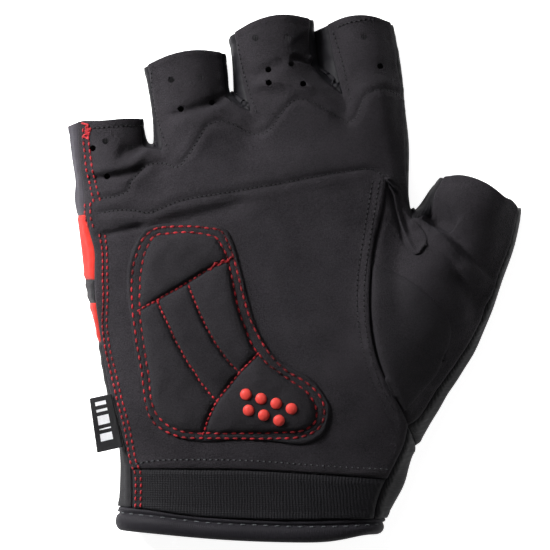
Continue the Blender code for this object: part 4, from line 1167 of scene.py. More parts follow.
def glove_forms():
    """Coarse grids of every panel of the glove, inside its cloth."""
    if "forms" in MADE:
        return MADE["forms"]
    palm = palm_grid()
    band = band_grid()
    band[0][:PALM_COLUMNS + 1] = [point.copy() for point in palm[-1]]
    cuff = cuff_grid(palm[0])
    fingers = [finger_grid(number) for number in range(4)]
    inner, inner_edges, outer, outer_edges = thumb_lines(palm, band)
    thumb = thumb_grid(palm, inner, outer)
    little, left_feet = little_strip(cuff, palm, band, fingers[0])
    notches = []
    notch_feet = []
    for number in range(3):
        rows, feet = notch_strip(number, fingers[number], fingers[number + 1])
        notches.append(rows)
        notch_feet.append(feet)
    web, web_feet = web_strip(fingers[3], band, inner, inner_edges)
    cuff_side, cuff_feet = cuff_side_strip(cuff, palm, outer_edges[0])
    crotch = FINGER_ROWS + len(BAND_ROWS)
    crotch_foot = web_feet[crotch]
    thumb_back = thumb_back_grid(outer, outer_edges, web_feet[crotch + 1:], crotch_foot)
    cuff_side[-1] = [point.copy() for point in thumb_back[0][:6]]
    backs = back_grids(left_feet, cuff_feet, notch_feet, web_feet, crotch_foot)
    first = CUFF_ROWS + PALM_SPANS[0][1]
    second = first + PALM_SPANS[1][1]
    third = second + PALM_SPANS[2][1]
    fourth = CUFF_ROWS + len(palm) - 1 + 2
    MADE["forms"] = {
        "palm_and_fingers": [palm, band] + fingers,
        "cuff_elastic": [cuff],
        "thumb_panel": [thumb],
        "side_lower": [little[:first + 1]],
        "side_block_lower": [little[first:second + 1]],
        "side_middle": [little[second:third + 1]],
        "side_block_upper": [little[third:fourth + 1]],
        "side_little_finger": [little[fourth:]],
        "fourchette_little_ring": [notches[0]],
        "fourchette_ring_middle": [notches[1]],
        "fourchette_middle_index": [notches[2]],
        "fourchette_index_thumb": [web],
        "cuff_side": [cuff_side],
        "thumb_back": [thumb_back],
    }
    for number, grid in enumerate(backs[1:]):
        for row, step in zip(grid, BACK_STEPS):
            row[1].y += 1.2 * FINGERS[number][1] * GLOVE_LENGTH * (step / FINGER_ROWS) ** 2
    MADE["backs"] = backs
    return MADE["forms"]


def add_object(name, data):
    """New object at the origin."""
    thing = bpy.data.objects.new(name, data)
    bpy.context.scene.collection.objects.link(thing)
    return thing


def baked(thing, name):
    """Plain mesh of an object with its modifiers; the object goes."""
    view = bpy.context.evaluated_depsgraph_get()
    data = bpy.data.meshes.new_from_object(thing.evaluated_get(view))
    data.name = name
    bpy.data.objects.remove(thing, do_unlink=True)
    return data


def finish_piece(name, data, key, nodes=()):
    """Smooth, coloured piece of the glove that stands for its nodes."""
    thing = add_object(name, data)
    data.shade_smooth()
    data.materials.clear()
    data.materials.append(glove_material(key))
    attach(thing, "root")
    if nodes:
        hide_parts(*nodes)
    return thing


def subdivided(mesh, name, levels):
    """Plain finely divided mesh of a coarse one, which is freed."""
    data = bpy.data.meshes.new("coarse")
    mesh.to_mesh(data)
    mesh.free()
    thing = add_object("coarse", data)
    fine = thing.modifiers.new("fine", "SUBSURF")
    fine.levels = levels
    fine.render_levels = levels
    return baked(thing, name)


def grids_to_mesh(panels, levels):
    """Finely divided mesh of panels of grids, with each face's panel number.

    Each panel is its grids and whether their faces are turned over.
    """
    mesh = bmesh.new()
    layer = mesh.faces.layers.int.new("panel")
    for number, (grids, flip) in enumerate(panels):
        for grid in grids:
            made = [[mesh.verts.new(point) for point in row] for row in grid]
            for lower, upper in zip(made, made[1:]):
                for column in range(len(lower) - 1):
                    corners = [lower[column], lower[column + 1], upper[column + 1], upper[column]]
                    if flip:
                        corners.reverse()
                    mesh.faces.new(corners)[layer] = number
    bmesh.ops.remove_doubles(mesh, verts=mesh.verts, dist=0.00001)
    return subdivided(mesh, "fine", levels)


def mesh_arrays(data):
    """Corner places, outward normals, quads and panel numbers of a mesh."""
    count = len(data.vertices)
    places = np.empty(count * 3)
    data.vertices.foreach_get("co", places)
    ways = np.empty(count * 3)
    data.vertex_normals.foreach_get("vector", ways)
    quads = np.empty(len(data.polygons) * 4, dtype=np.int64)
    data.polygons.foreach_get("vertices", quads)
    numbers = np.zeros(len(data.polygons), dtype=np.int64)
    if "panel" in data.attributes:
        data.attributes["panel"].data.foreach_get("value", numbers)
    return places.reshape(-1, 3), ways.reshape(-1, 3), quads.reshape(-1, 4), numbers


def mesh_from(name, places, quads):
    """Mesh of quads from arrays."""
    data = bpy.data.meshes.new(name)
    data.from_pydata(places.tolist(), [], quads.tolist())
    data.update()
    return data


def line_distance(places, line):
    """Flat distance of every place to a line, and its share along the line."""
    flat = places[:, :2]
    spots = np.array([(point.x, point.y) for point in line])
    best = np.full(len(flat), 1e9)
    share = np.zeros(len(flat))
    for number in range(len(spots) - 1):
        start = spots[number]
        way = spots[number + 1] - start
        length = max(float(way @ way), 1e-12)
        at = np.clip((flat - start) @ way / length, 0.0, 1.0)
        away = np.hypot(*(flat - start - at[:, None] * way).T)
        near = away < best
        best[near] = away[near]
        share[near] = (number + at[near]) / (len(spots) - 1)
    return best, share


def bell(away, reach):
    """Bell curve of distances, 1 at the line."""
    return np.exp(-(away / reach) ** 2)


def nudged(places):
    """Places moved sideways near the corners of the rims."""
    unit = GLOVE_LENGTH / DRAWN_LENGTH
    for x, y, reach, right, down in NUDGES:
        spot = drawn(x, y)
        share = bell(np.hypot(places[:, 0] - spot.x, places[:, 1] - spot.y), reach * unit)
        places[:, 0] += right * unit * share
        places[:, 1] -= down * unit * share
    return places


def crease_heights(places):
    """Height that the folds and creases add at each place."""
    total = np.zeros(len(places))
    for points, height, reach in CREASES:
        away, share = line_distance(places, run_of(points, 0.0015))
        ends = np.clip(np.minimum(share, 1.0 - share) / 0.22, 0.0, 1.0)
        total += height * bell(away * MM, reach) * ends * ends * (3.0 - 2.0 * ends)
    return total / MM


def step_heights(places):
    """Height lost at the lower side of the one-sided folds."""
    total = np.zeros(len(places))
    for points, depth, reach in STEP_FOLDS:
        line = run_of(points, 0.0015)
        away, share = line_distance(places, line)
        spots = np.array([(point.x, point.y) for point in line])
        low = np.minimum((share * (len(line) - 1)).astype(int), len(line) - 2)
        way = spots[low + 1] - spots[low]
        over = places[:, :2] - spots[low]
        side = way[:, 0] * over[:, 1] - way[:, 1] * over[:, 0]
        ends = np.clip(np.minimum(share / 0.12, (1.0 - share) / 0.55), 0.0, 1.0)
        edge = 1.0 - bell(away * MM, 0.5)
        total -= np.where(side > 0, depth * bell(away * MM, reach) * edge * ends, 0.0)
    return total / MM


def cloth_waviness(places):
    """Slow small unevenness of cloth that has been worn and laid down."""
    x, y, z = (places * MM).T
    total = 0.10 * np.sin(x / 5.3 + 1.1 * np.sin(y / 8.9)) * np.sin(y / 6.7 + z / 9.0)
    total += 0.06 * np.sin(x / 2.1 + y / 3.3 + 2.0 * np.sin(x / 7.0))
    return total / MM


def seam_distance(places, spots):
    """Distance of every place to the nearest of some spots, in millimetres."""
    tree = search_tree(spots)
    return np.array([tree.find(spot)[2] for spot in places]) * MM


def row_distance(places, points):
    """Flat distance of every place to a drawn line, in millimetres."""
    return line_distance(places, run_of(points, 0.001))[0] * MM


def rim_of(quads):
    """Numbers of the corners on the open rims of a mesh of quads."""
    pairs = [quads[:, [a, b]] for a, b in ((0, 1), (1, 2), (2, 3), (3, 0))]
    lines, counts = np.unique(np.sort(np.concatenate(pairs), axis=1), axis=0, return_counts=True)
    return np.unique(lines[counts == 1])


def over_floor(places):
    """Places kept just over the floor."""
    places[:, 2] = np.maximum(places[:, 2], OUTER_CLEARANCE)
    return places


def swelling(away, form):
    """Height of a swelling beside a line, in millimetres."""
    height, at, reach = form
    return height * bell(away - at, reach)


def groove(away, form, pucker=1.0):
    """Height of a sunken line with a swelling beside it."""
    depth, width = form[:2]
    return (pucker * swelling(away, form[2:]) - depth * bell(away, width)) / MM


def shape_skin():
    """Displaced outer skin of the glove, cut into its panels."""
    if "skin" in MADE:
        return MADE["skin"]
    forms = glove_forms()
    turned = [name.startswith(("side_", "fourchette_")) for name in forms]
    data = grids_to_mesh(list(zip(forms.values(), turned)), SKIN_LEVELS)
    places, ways, quads, numbers = mesh_arrays(data)
    bpy.data.meshes.remove(data)
    places = nudged(places)
    owners = [set() for _ in range(len(places))]
    for quad, number in zip(quads.tolist(), numbers.tolist()):
        for corner in quad:
            owners[corner].add(number)
    names = list(forms)
    seam = np.array([len(owner) > 1 for owner in owners])
    to_seam = seam_distance(places, places[seam])
    to_rim = seam_distance(places, places[rim_of(quads)])
    front = np.clip(ways[:, 2] * 1.6, 0.0, 1.0)
    wave = row_distance(places, WAVE_LINE)
    sewn = row_distance(places, KNUCKLE_STITCH)
    edge = row_distance(places, PALM_EDGE)
    common = (crease_heights(places) + step_heights(places)) * front
    common += cloth_waviness(places)
    pucker = 1.0 + 0.4 * np.sin(places[:, 1] * 1700.0 + 3.0 * np.sin(places[:, 1] * 130.0))
    under = drawn(*CALM_SPOT)
    away = np.hypot(places[:, 0] - under.x, places[:, 1] - under.y) * MM
    calm = 1.0 - bell(away, CALM_REACH)
    common += groove(to_seam, SEAM_GROOVE, pucker) * calm
    common += (groove(wave, WAVE_GROOVE) + groove(sewn, STITCH_GROOVE)) * front
    common += (swelling(to_rim, RIM_ROLL) - swelling(to_rim, RIM_DIP)) / MM
    pieces = {}
    for number, name in enumerate(names):
        own = quads[numbers == number]
        used, packed = np.unique(own, return_inverse=True)
        packed = packed.reshape(-1, 4)
        level = common[used].copy()
        lift = SUEDE_LIFT if name in SUEDE_PANELS else STRETCH_LIFT
        if name.startswith("side_"):
            lift = SIDE_LIFT
            height, reach = SIDE_RIDGE
            level += height * bell(to_seam[used], reach) / MM
        level += lift * bell(to_seam[used], LIFT_REACH) / MM
        if name == "palm_and_fingers":
            height, reach = PALM_STEP
            level += height * bell(edge[used], reach) / MM
        if name == "thumb_panel":
            height, reach = THUMB_SINK
            level -= height * calm[used] * bell(edge[used], reach) / MM
        spots = places[used] + ways[used] * (CLOTH + level)[:, None]
        pieces[name] = (over_floor(spots), packed)
    everything = []
    faces = []
    base = 0
    for spots, packed in pieces.values():
        everything.append(spots)
        faces.append(packed + base)
        base += len(spots)
    MADE["ground"] = surface_tree(np.concatenate(everything), np.concatenate(faces))
    MADE["skin"] = pieces
    return pieces


def surface_tree(places, quads):
    """Tree for finding places on a surface."""
    return BVHTree.FromPolygons([tuple(spot) for spot in places], quads.tolist())


def ground_at(x, y, tree=None):
    """Place and normal of the glove's front under a point."""
    tree = tree or MADE["ground"]
    hit = tree.ray_cast(Vector((x, y, 0.2)), Vector((0.0, 0.0, -1.0)))
    if hit[0] is None:
        near = tree.find_nearest(Vector((x, y, SEAM_HEIGHT)))
        return near[0], near[1]
    normal = hit[1] if hit[1].z > 0 else -hit[1]
    return hit[0], normal


def with_wall(name, places, quads, thickness):
    """Plain mesh of a sheet given a wall on its inner side."""
    thing = add_object("wall", mesh_from("wall", places, quads))
    wall = thing.modifiers.new("wall", "SOLIDIFY")
    wall.thickness = thickness
    wall.offset = -1.0
    wall.use_even_offset = False
    data = baked(thing, name)
    spots = np.empty(len(data.vertices) * 3)
    data.vertices.foreach_get("co", spots)
    spots[2::3] = np.maximum(spots[2::3], INNER_CLEARANCE)
    data.vertices.foreach_set("co", spots)
    return data


def panel_piece(name, key, nodes=None):
    """One sewn panel as a cloth piece, thicker all over when its edge laps another."""
    places, quads = shape_skin()[name]
    sizes = bpy.context.scene.glove_sizes
    lapped = LAP if name in LAPPED_PANELS else 0.0
    data = with_wall(name, places, quads, sizes.wall + lapped)
    if name == "palm_and_fingers":
        data = cut_holes(data)
    return finish_piece(name + "_cloth", data, key, nodes or (name,))


def tree_sockets(tree):
    """Identifiers of a geometry tree's inputs by their names."""
    found = {}
    for item in tree.interface.items_tree:
        if item.item_type == "SOCKET" and item.in_out == "INPUT":
            found[item.name] = item.identifier
    return found


def geometry_tree(name, inputs):
    """Geometry node tree with a geometry in and out and named inputs."""
    tree = bpy.data.node_groups.new(name, "GeometryNodeTree")
    tree.interface.new_socket(name="Geometry", in_out="INPUT", socket_type="NodeSocketGeometry")
    tree.interface.new_socket(name="Geometry", in_out="OUTPUT", socket_type="NodeSocketGeometry")
    for label, kind, value in inputs:
        socket = tree.interface.new_socket(name=label, in_out="INPUT", socket_type=kind)
        if value is not None:
            socket.default_value = value
    return tree, tree.nodes.new("NodeGroupInput"), tree.nodes.new("NodeGroupOutput")


def named_vector(tree, label):
    """Node output that reads a named vector attribute."""
    node = tree.nodes.new("GeometryNodeInputNamedAttribute")
    node.data_type = "FLOAT_VECTOR"
    node.inputs["Name"].default_value = label
    return node.outputs["Attribute"]


def aligned(tree, rotation, axis, pivot, vector):
    """Rotation turned so that an axis follows a vector."""
    node = tree.nodes.new("FunctionNodeAlignRotationToVector")
    node.axis = axis
    node.pivot_axis = pivot
    if rotation is not None:
        tree.links.new(rotation, node.inputs["Rotation"])
    tree.links.new(vector, node.inputs["Vector"])
    return node.outputs["Rotation"]


def bead(tree, segments, rings):
    """Unit bead that is placed again and again."""
    node = tree.nodes.new("GeometryNodeMeshUVSphere")
    node.inputs["Segments"].default_value = segments
    node.inputs["Rings"].default_value = rings
    node.inputs["Radius"].default_value = 0.5
    return node.outputs["Mesh"]


def placed_again(tree, start, end, points, shape, rotation, size):
    """Instances on points, made real and given the Material input."""
    links = tree.links
    combine = tree.nodes.new("ShaderNodeCombineXYZ")
    for slot, label in enumerate(size):
        links.new(start.outputs[label], combine.inputs[slot])
    instances = tree.nodes.new("GeometryNodeInstanceOnPoints")
    links.new(points, instances.inputs["Points"])
    links.new(shape, instances.inputs["Instance"])
    links.new(rotation, instances.inputs["Rotation"])
    links.new(combine.outputs[0], instances.inputs["Scale"])
    real = tree.nodes.new("GeometryNodeRealizeInstances")
    links.new(instances.outputs[0], real.inputs[0])
    smooth_faces = tree.nodes.new("GeometryNodeSetShadeSmooth")
    links.new(real.outputs[0], smooth_faces.inputs[0])
    paint = tree.nodes.new("GeometryNodeSetMaterial")
    links.new(smooth_faces.outputs[0], paint.inputs["Geometry"])
    links.new(start.outputs["Material"], paint.inputs["Material"])
    links.new(paint.outputs[0], end.inputs["Geometry"])


def stitch_tree():
    """Tree that lays stitches along lines with an "up" attribute."""
    if "row_of_stitches" in bpy.data.node_groups:
        return bpy.data.node_groups["row_of_stitches"]
    tree, start, end = geometry_tree(
        "row_of_stitches",
        (
            ("Pitch", "NodeSocketFloat", 0.002),
            ("Length", "NodeSocketFloat", 0.0014),
            ("Width", "NodeSocketFloat", 0.0005),
            ("Height", "NodeSocketFloat", 0.0005),
            ("Material", "NodeSocketMaterial", None),
        ),
    )
    links = tree.links
    curve = tree.nodes.new("GeometryNodeMeshToCurve")
    links.new(start.outputs["Geometry"], curve.inputs[0])
    even = tree.nodes.new("GeometryNodeResampleCurve")
    even.mode = "LENGTH"
    links.new(curve.outputs[0], even.inputs["Curve"])
    links.new(start.outputs["Pitch"], even.inputs["Length"])
    points = tree.nodes.new("GeometryNodeCurveToPoints")
    points.mode = "EVALUATED"
    links.new(even.outputs[0], points.inputs[0])
    along = aligned(tree, None, "X", "AUTO", points.outputs["Tangent"])
    turned = aligned(tree, along, "Z", "X", named_vector(tree, "up"))
    shape = bead(tree, 6, 5)
    size = ("Length", "Width", "Height")
    placed_again(tree, start, end, points.outputs["Points"], shape, turned, size)
    return tree


def dot_tree():
    """Tree that sets a low round dot on every point with an "up" attribute."""
    if "raised_dots" in bpy.data.node_groups:
        return bpy.data.node_groups["raised_dots"]
    tree, start, end = geometry_tree(
        "raised_dots",
        (
            ("Diameter", "NodeSocketFloat", 0.0034),
            ("Height", "NodeSocketFloat", 0.002),
            ("Material", "NodeSocketMaterial", None),
        ),
    )
    turned = aligned(tree, None, "Z", "AUTO", named_vector(tree, "up"))
    shape = bead(tree, 32, 16)
    size = ("Diameter", "Diameter", "Height")
    placed_again(tree, start, end, start.outputs["Geometry"], shape, turned, size)
    return tree


def hole_tree():
    """Tree that cuts a round hole at every point of another mesh."""
    if "breathing_holes" in bpy.data.node_groups:
        return bpy.data.node_groups["breathing_holes"]
    tree, start, end = geometry_tree(
        "breathing_holes",
        (
            ("Diameter", "NodeSocketFloat", 0.0018),
            ("Depth", "NodeSocketFloat", 0.030),
            ("Centres", "NodeSocketObject", None),
            ("Material", "NodeSocketMaterial", None),
        ),
    )
    links = tree.links
    info = tree.nodes.new("GeometryNodeObjectInfo")
    links.new(start.outputs["Centres"], info.inputs["Object"])
    pin = tree.nodes.new("GeometryNodeMeshCylinder")
    pin.inputs["Vertices"].default_value = 14
    links.new(scaled(tree, start.outputs["Diameter"], 0.5), pin.inputs["Radius"])
    links.new(start.outputs["Depth"], pin.inputs["Depth"])
    pins = tree.nodes.new("GeometryNodeInstanceOnPoints")
    links.new(info.outputs["Geometry"], pins.inputs["Points"])
    links.new(pin.outputs["Mesh"], pins.inputs["Instance"])
    real = tree.nodes.new("GeometryNodeRealizeInstances")
    links.new(pins.outputs[0], real.inputs[0])
    cut = tree.nodes.new("GeometryNodeMeshBoolean")
    cut.operation = "DIFFERENCE"
    cut.solver = "EXACT"
    cut.inputs["Self Intersection"].default_value = True
    links.new(start.outputs["Geometry"], cut.inputs["Mesh 1"])
    links.new(real.outputs[0], cut.inputs["Mesh 2"])
    paint = tree.nodes.new("GeometryNodeSetMaterial")
    links.new(cut.outputs[0], paint.inputs["Geometry"])
    links.new(start.outputs["Material"], paint.inputs["Material"])
    links.new(paint.outputs[0], end.inputs["Geometry"])
    return tree


def grown(name, data, tree, values):
    """Plain mesh that a geometry tree makes of a mesh with named values."""
    thing = add_object(name, data)
    grow = thing.modifiers.new("grow", "NODES")
    grow.node_group = tree
    sockets = tree_sockets(tree)
    for label, value in values.items():
        grow[sockets[label]] = value
    return baked(thing, name)


def cut_holes(data):
    """Cut the breathing holes through the finger fronts."""
    centres = bpy.data.meshes.new("hole_centres")
    centres.from_pydata([place(a, b, 0.020) for a, b in HOLES], [], [])
    marks = add_object("hole_centres", centres)
    values = {
        "Diameter": bpy.context.scene.glove_sizes.hole,
        "Depth": 0.026,
        "Centres": marks,
        "Material": glove_material("suede"),
    }
    result = grown("palm_and_fingers", data, hole_tree(), values)
    bpy.data.objects.remove(marks, do_unlink=True)
    return result


def lines_mesh(name, lines):
    """Mesh of loose lines; each line is a list of places and normals."""
    spots = []
    ups = []
    edges = []
    for line in lines:
        base = len(spots)
        for spot, up in line:
            spots.append(spot)
            ups.append(up)
        edges.extend((base + n, base + n + 1) for n in range(len(line) - 1))
    data = bpy.data.meshes.new(name)
    data.from_pydata(spots, edges, [])
    ways = data.attributes.new("up", "FLOAT_VECTOR", "POINT")
    for number, up in enumerate(ups):
        ways.data[number].vector = up
    return data


def laid_line(points, lift, tree=None):
    """Places and normals of a drawn line laid on the glove's front."""
    line = []
    for spot in run_of(points, LAID_STEP):
        where, up = ground_at(spot.x, spot.y, tree)
        line.append((where + up * lift, up))
    return line


def stitch_rows(name, lines, key, pitch, length, width, slot, height=None):
    """Rows of stitches along laid lines as one piece."""
    # A row with a long enough step also gets flattened dark beads between its stitches: painted
    # shade of the needle holes. Under red thread the beads are dark red, partly red fuzz and partly
    # painted shade.
    if not name.endswith("_pits") and pitch > 0.0009:
        half = max(int(round(pitch / 2 / LAID_STEP)), 1)
        later = [line[half:] for line in lines if len(line) > half + 2]
        hole_shade_key = "pit_red" if key == "thread_red" else "needle_pit"
        wide = max(width * 1.05, 0.00056)
        stitch_rows(name + "_pits", later, hole_shade_key, pitch, 0.00060, wide, slot, 0.00028)
    values = {
        "Pitch": pitch,
        "Length": length,
        "Width": width,
        "Height": height or width,
        "Material": glove_material(key),
    }
    data = grown(name, lines_mesh(name, lines), stitch_tree(), values)
    thing = add_object(name, data)
    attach(thing, "root")
    return thing


def shaped_patch(sides, columns, rows):
    """Flat fine grid between drawn lower, upper, left and right lines."""
    counts = (columns, columns, rows, rows)
    return span_patch(*[spread(run_of(line, 0.0005), count) for line, count in zip(sides, counts)])


def grid_quads(rows, columns):
    """Quads of a grid of rows by columns of points."""
    quads = []
    for row in range(rows - 1):
        for column in range(columns - 1):
            at = row * columns + column
            quads.append((at, at + 1, at + columns + 1, at + columns))
    return np.array(quads)


def laid_patch(grid, rise):
    """Places of a flat grid laid on the front, raised by a rise at each point."""
    places = []
    for row in grid:
        for point in row:
            where, _ = ground_at(point.x, point.y)
            places.append((point.x, point.y, where.z + rise(point)))
    return np.array(places)


def neighbours(height):
    """Sum of the four neighbours of every inner point of a grid."""
    return height[:-2, 1:-1] + height[2:, 1:-1] + height[1:-1, :-2] + height[1:-1, 2:]


def eased(places, rows, columns, times):
    """Heights of a laid grid evened out between neighbours."""
    height = places[:, 2].reshape(rows, columns)
    for _ in range(times):
        height[1:-1, 1:-1] = height[1:-1, 1:-1] * 0.5 + neighbours(height) / 4 * 0.5
    places[:, 2] = height.reshape(-1)
    return places


def pressed_out(rows, columns, held):
    """Rise of a membrane pressed out between held points of a grid, 0 to 1."""
    height = np.zeros((rows, columns))
    for _ in range(PRESS_ROUNDS):
        height[1:-1, 1:-1] = np.where(held[1:-1, 1:-1], 0.0, (neighbours(height) + 1.0) / 4)
    return 1.0 - np.exp(-(height / PRESS_FULL) ** PRESS_POWER)


def pad_piece():
    """The palm's pad: one sewn-on patch whose cells puff between its rows."""
    sizes = bpy.context.scene.glove_sizes
    columns, rows = 100, 150
    grid = shaped_patch(PAD_SIDES, columns - 1, rows - 1)
    rim = flat_tree(PAD_SIDES)
    inner = flat_tree((PAD_INNER_ROW,))
    outer = flat_tree((PAD_OUTER_ROW,))
    channels = flat_tree(PAD_DIVIDERS)
    loop = [(p.x, p.y) for p in run_of(PAD_INNER_ROW, 0.0010)]

    def inside(x, y):
        result = False
        for (ax, ay), (bx, by) in zip(loop, loop[1:]):
            if (ay > y) != (by > y) and x < (bx - ax) * (y - ay) / (by - ay) + ax:
                result = not result
        return result

    base = laid_patch(grid, lambda point: 0.0)
    base = eased(base, rows, columns, 30)
    points = [point for row in grid for point in row]
    held = []
    for point in points:
        away = min(away_from(inner, point.x, point.y), away_from(channels, point.x, point.y))
        held.append(away < 0.00026 or not inside(point.x, point.y))
    puffed = pressed_out(rows, columns, np.array(held).reshape(rows, columns)).reshape(-1)
    for number, (x, y, _) in enumerate(points):
        to_rim = away_from(rim, x, y) * MM
        to_inner = away_from(inner, x, y) * MM
        to_outer = away_from(outer, x, y) * MM
        to_channel = away_from(channels, x, y) * MM
        rise = 0.30 + 0.55 * (1.0 - math.exp(-(to_rim / 0.5) ** 2))
        rise += 0.18 * math.exp(-((to_rim - 0.7) / 0.5) ** 2)
        rise -= 0.30 * math.exp(-(to_outer / 0.42) ** 2)
        if not held[number]:
            full = puffed[number]
            rise += sizes.puff * MM * full
            rise += 0.10 * math.sin(x * 900.0 + 2.0 * math.sin(y * 500.0)) * full
            rise -= 0.35 * math.exp(-(to_channel / 0.5) ** 2)
        rise -= 0.30 * math.exp(-(to_inner / 0.42) ** 2)
        base[number, 2] += rise / MM
    quads = grid_quads(rows, columns)
    MADE["pad_tree"] = surface_tree(base, quads)
    data = with_wall("pad", base, quads, PAD_WALL)
    nodes = ("pad_base", "cell_top", "cell_outer", "cell_middle", "cell_inner", "cell_heel")
    thing = finish_piece("palm_pad", data, "suede_fine", nodes)
    return thing


THUMB_PATCH_SIDES = (
    ((403, 411), (411, 403), (436, 374), (443, 357)),
    ((371, 263), (386, 269), (400, 275.5), (419, 288), (436, 303)),
    ((403, 411), (386, 383), (377, 353), (371, 316), (371, 290), (371, 263)),
    ((443, 357), (448, 345), (450, 332), (446, 317), (436, 303)),
)
TONGUE_SIDES = (
    ((411, 252), (414, 255), (419, 253.5), (424, 247)),
    ((384, 180), (388, 181), (393, 184)),
    ((411, 252), (406, 243), (402, 232), (396, 213), (391, 193), (384, 180)),
    ((424, 247), (426, 238), (420, 227), (412, 219), (407, 205), (401, 192), (393, 184)),
)


def overlay_piece(name, sides, columns, rows, key, slot, thick, lip):
    """Thin patch laid on the front, with a lip along its edge in millimetres."""
    grid = shaped_patch(sides, columns - 1, rows - 1)
    rim = flat_tree(sides)
    folded = flat_tree((sides[0], sides[2]))

    def rise(point):
        away = away_from(rim, point.x, point.y) * MM
        edge = 1.0 - math.exp(-(away / 0.35) ** 2)
        turned = away_from(folded, point.x, point.y) * MM
        rolled = lip * math.exp(-((turned - 0.7) / 0.55) ** 2)
        return (thick * (0.25 + 0.75 * edge) + rolled) / MM

    places = eased(laid_patch(grid, rise), rows, columns, 6)
    data = with_wall(name, places, grid_quads(rows, columns), PATCH_WALL)
    return finish_piece(name + "_cloth", data, key, (name,))


def back_piece():
    """Plain stretch cloth of the back, one sheet with its finger backs."""
    glove_forms()
    data = grids_to_mesh([(MADE["backs"], True)], BACK_LEVELS)
    places, ways, quads, _ = mesh_arrays(data)
    bpy.data.meshes.remove(data)
    places = nudged(places)
    to_rim = seam_distance(places, places[rim_of(quads)])
    level = CLOTH + cloth_waviness(places) - 0.35 * bell(to_rim, 0.8) / MM
    places = over_floor(places + ways * level[:, None])
    data = with_wall("back_panel", places, quads, BACK_WALL)
    return finish_piece("back_panel_cloth", data, "stretch", ("back_panel",))


BINDING_PROFILE = (
    (0.00, 0.10), (0.03, 0.75), (0.10, 1.05), (0.18, 0.95), (0.24, 0.55), (0.29, 0.60),
    (0.36, 1.25), (0.50, 1.70), (0.66, 1.75), (0.80, 1.50), (0.92, 1.00), (0.99, 0.35),
    (1.00, -0.25), (0.94, -0.60), (0.70, -0.65), (0.35, -0.60), (0.08, -0.50), (0.01, -0.30),
)


def binding_piece():
    """Bound rim of the wrist: a folded ribbed strip sewn round it."""
    top, middle, bottom = binding_grid()
    count = len(top)
    rows = []
    for share, bulge in BINDING_PROFILE:
        row = []
        for column in range(count):
            first = mix(top[column], middle[column], min(share * 2, 1.0))
            second = mix(middle[column], bottom[column], max(share * 2 - 1, 0.0))
            point = first if share < 0.5 else second
            after = middle[(column + 1) % count] - middle[column - 1]
            down = top[column] - bottom[column]
            out = after.cross(down).normalized()
            row.append(point + out * bulge / MM)
        rows.append(row)
    mesh = bmesh.new()
    made = [[mesh.verts.new(point) for point in row] for row in rows]
    made.append(made[0])
    for lower, upper in zip(made, made[1:]):
        for column in range(count):
            after = (column + 1) % count
            mesh.faces.new((lower[column], upper[column], upper[after], lower[after]))
    bmesh.ops.recalc_face_normals(mesh, faces=mesh.faces)
    data = subdivided(mesh, "hem_binding", BINDING_LEVELS)
    places, _, quads, _ = mesh_arrays(data)
    places = over_floor(places)
    data.vertices.foreach_set("co", places.reshape(-1))
    data.update()
    MADE["binding_tree"] = surface_tree(places, quads)
    return finish_piece("hem_binding_roll", data, "binding", ("hem_binding",))


def dots_piece():
    """Raised rubber dots on the heel of the pad."""
    lines = []
    for across, along in DOTS:
        spot = place(across, along)
        lines.append([ground_at(spot.x, spot.y, MADE["pad_tree"])])
    data = lines_mesh("grip_dots", lines)
    size = bpy.context.scene.glove_sizes.dot
    values = {"Diameter": size, "Height": size * 0.55, "Material": glove_material("rubber")}
    thing = add_object("grip_dots", grown("grip_dots", data, dot_tree(), values))
    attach(thing, "root")
    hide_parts(*[f"grip_dot_{number}" for number in range(1, 8)])
    return thing


def plate(name, data, thickness, edge, segments):
    """Plain mesh of a thin plate with rounded edges."""
    thing = add_object("plate", data)
    wall = thing.modifiers.new("wall", "SOLIDIFY")
    wall.thickness = thickness
    wall.offset = 0.0
    round_edge = thing.modifiers.new("edge", "BEVEL")
    round_edge.width = edge
    round_edge.segments = segments
    return baked(thing, name)


def label_piece():
    """Woven tab, which is folded over and caught in the side seam, made as one thin plate with
    plain bars.
    """
    low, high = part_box("label_tab")
    centre = Vector([(a + b) / 2 for a, b in zip(low, high)])
    corners = [drawn(x, y) for x, y in ((90.5, 398), (112, 393), (124, 446), (98, 452))]
    columns, rows = 24, 44
    spots = []
    for row in range(rows):
        for column in range(columns):
            over, up = column / (columns - 1), row / (rows - 1)
            top = mix(corners[0], corners[1], over)
            bottom = mix(corners[3], corners[2], over)
            point = mix(top, bottom, up)
            point.z = centre.z + 0.0005 * math.sin(up * 5.0) * (1.0 - over) + 0.0004 * over
            spots.append(tuple(point))
    quads = grid_quads(rows, columns)[:, ::-1]
    data = plate("label_tab", mesh_from("label", np.array(spots), quads), LABEL_WALL, 0.0003, 2)
    made = bmesh.new()
    made.from_mesh(data)
    bars = ((0.10, 0.16), (0.24, 0.27), (0.36, 0.50), (0.58, 0.61), (0.68, 0.82))
    tree = search_tree(spots)
    for face in made.faces:
        near = [tree.find(vert.co)[1] for vert in face.verts]
        up = sum(number // columns for number in near) / len(near) / (rows - 1)
        over = sum(number % columns for number in near) / len(near) / (columns - 1)
        if face.normal.z > 0.5 and 0.22 < over < 0.70 and any(a <= up <= b for a, b in bars):
            face.material_index = 1
    made.to_mesh(data)
    made.free()
    piece = add_object("label_tab_woven", data)
    data.shade_smooth()
    data.materials.append(glove_material("label"))
    data.materials.append(glove_material("label_mark"))
    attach(piece, "root")
    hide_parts("label_tab")
    return piece


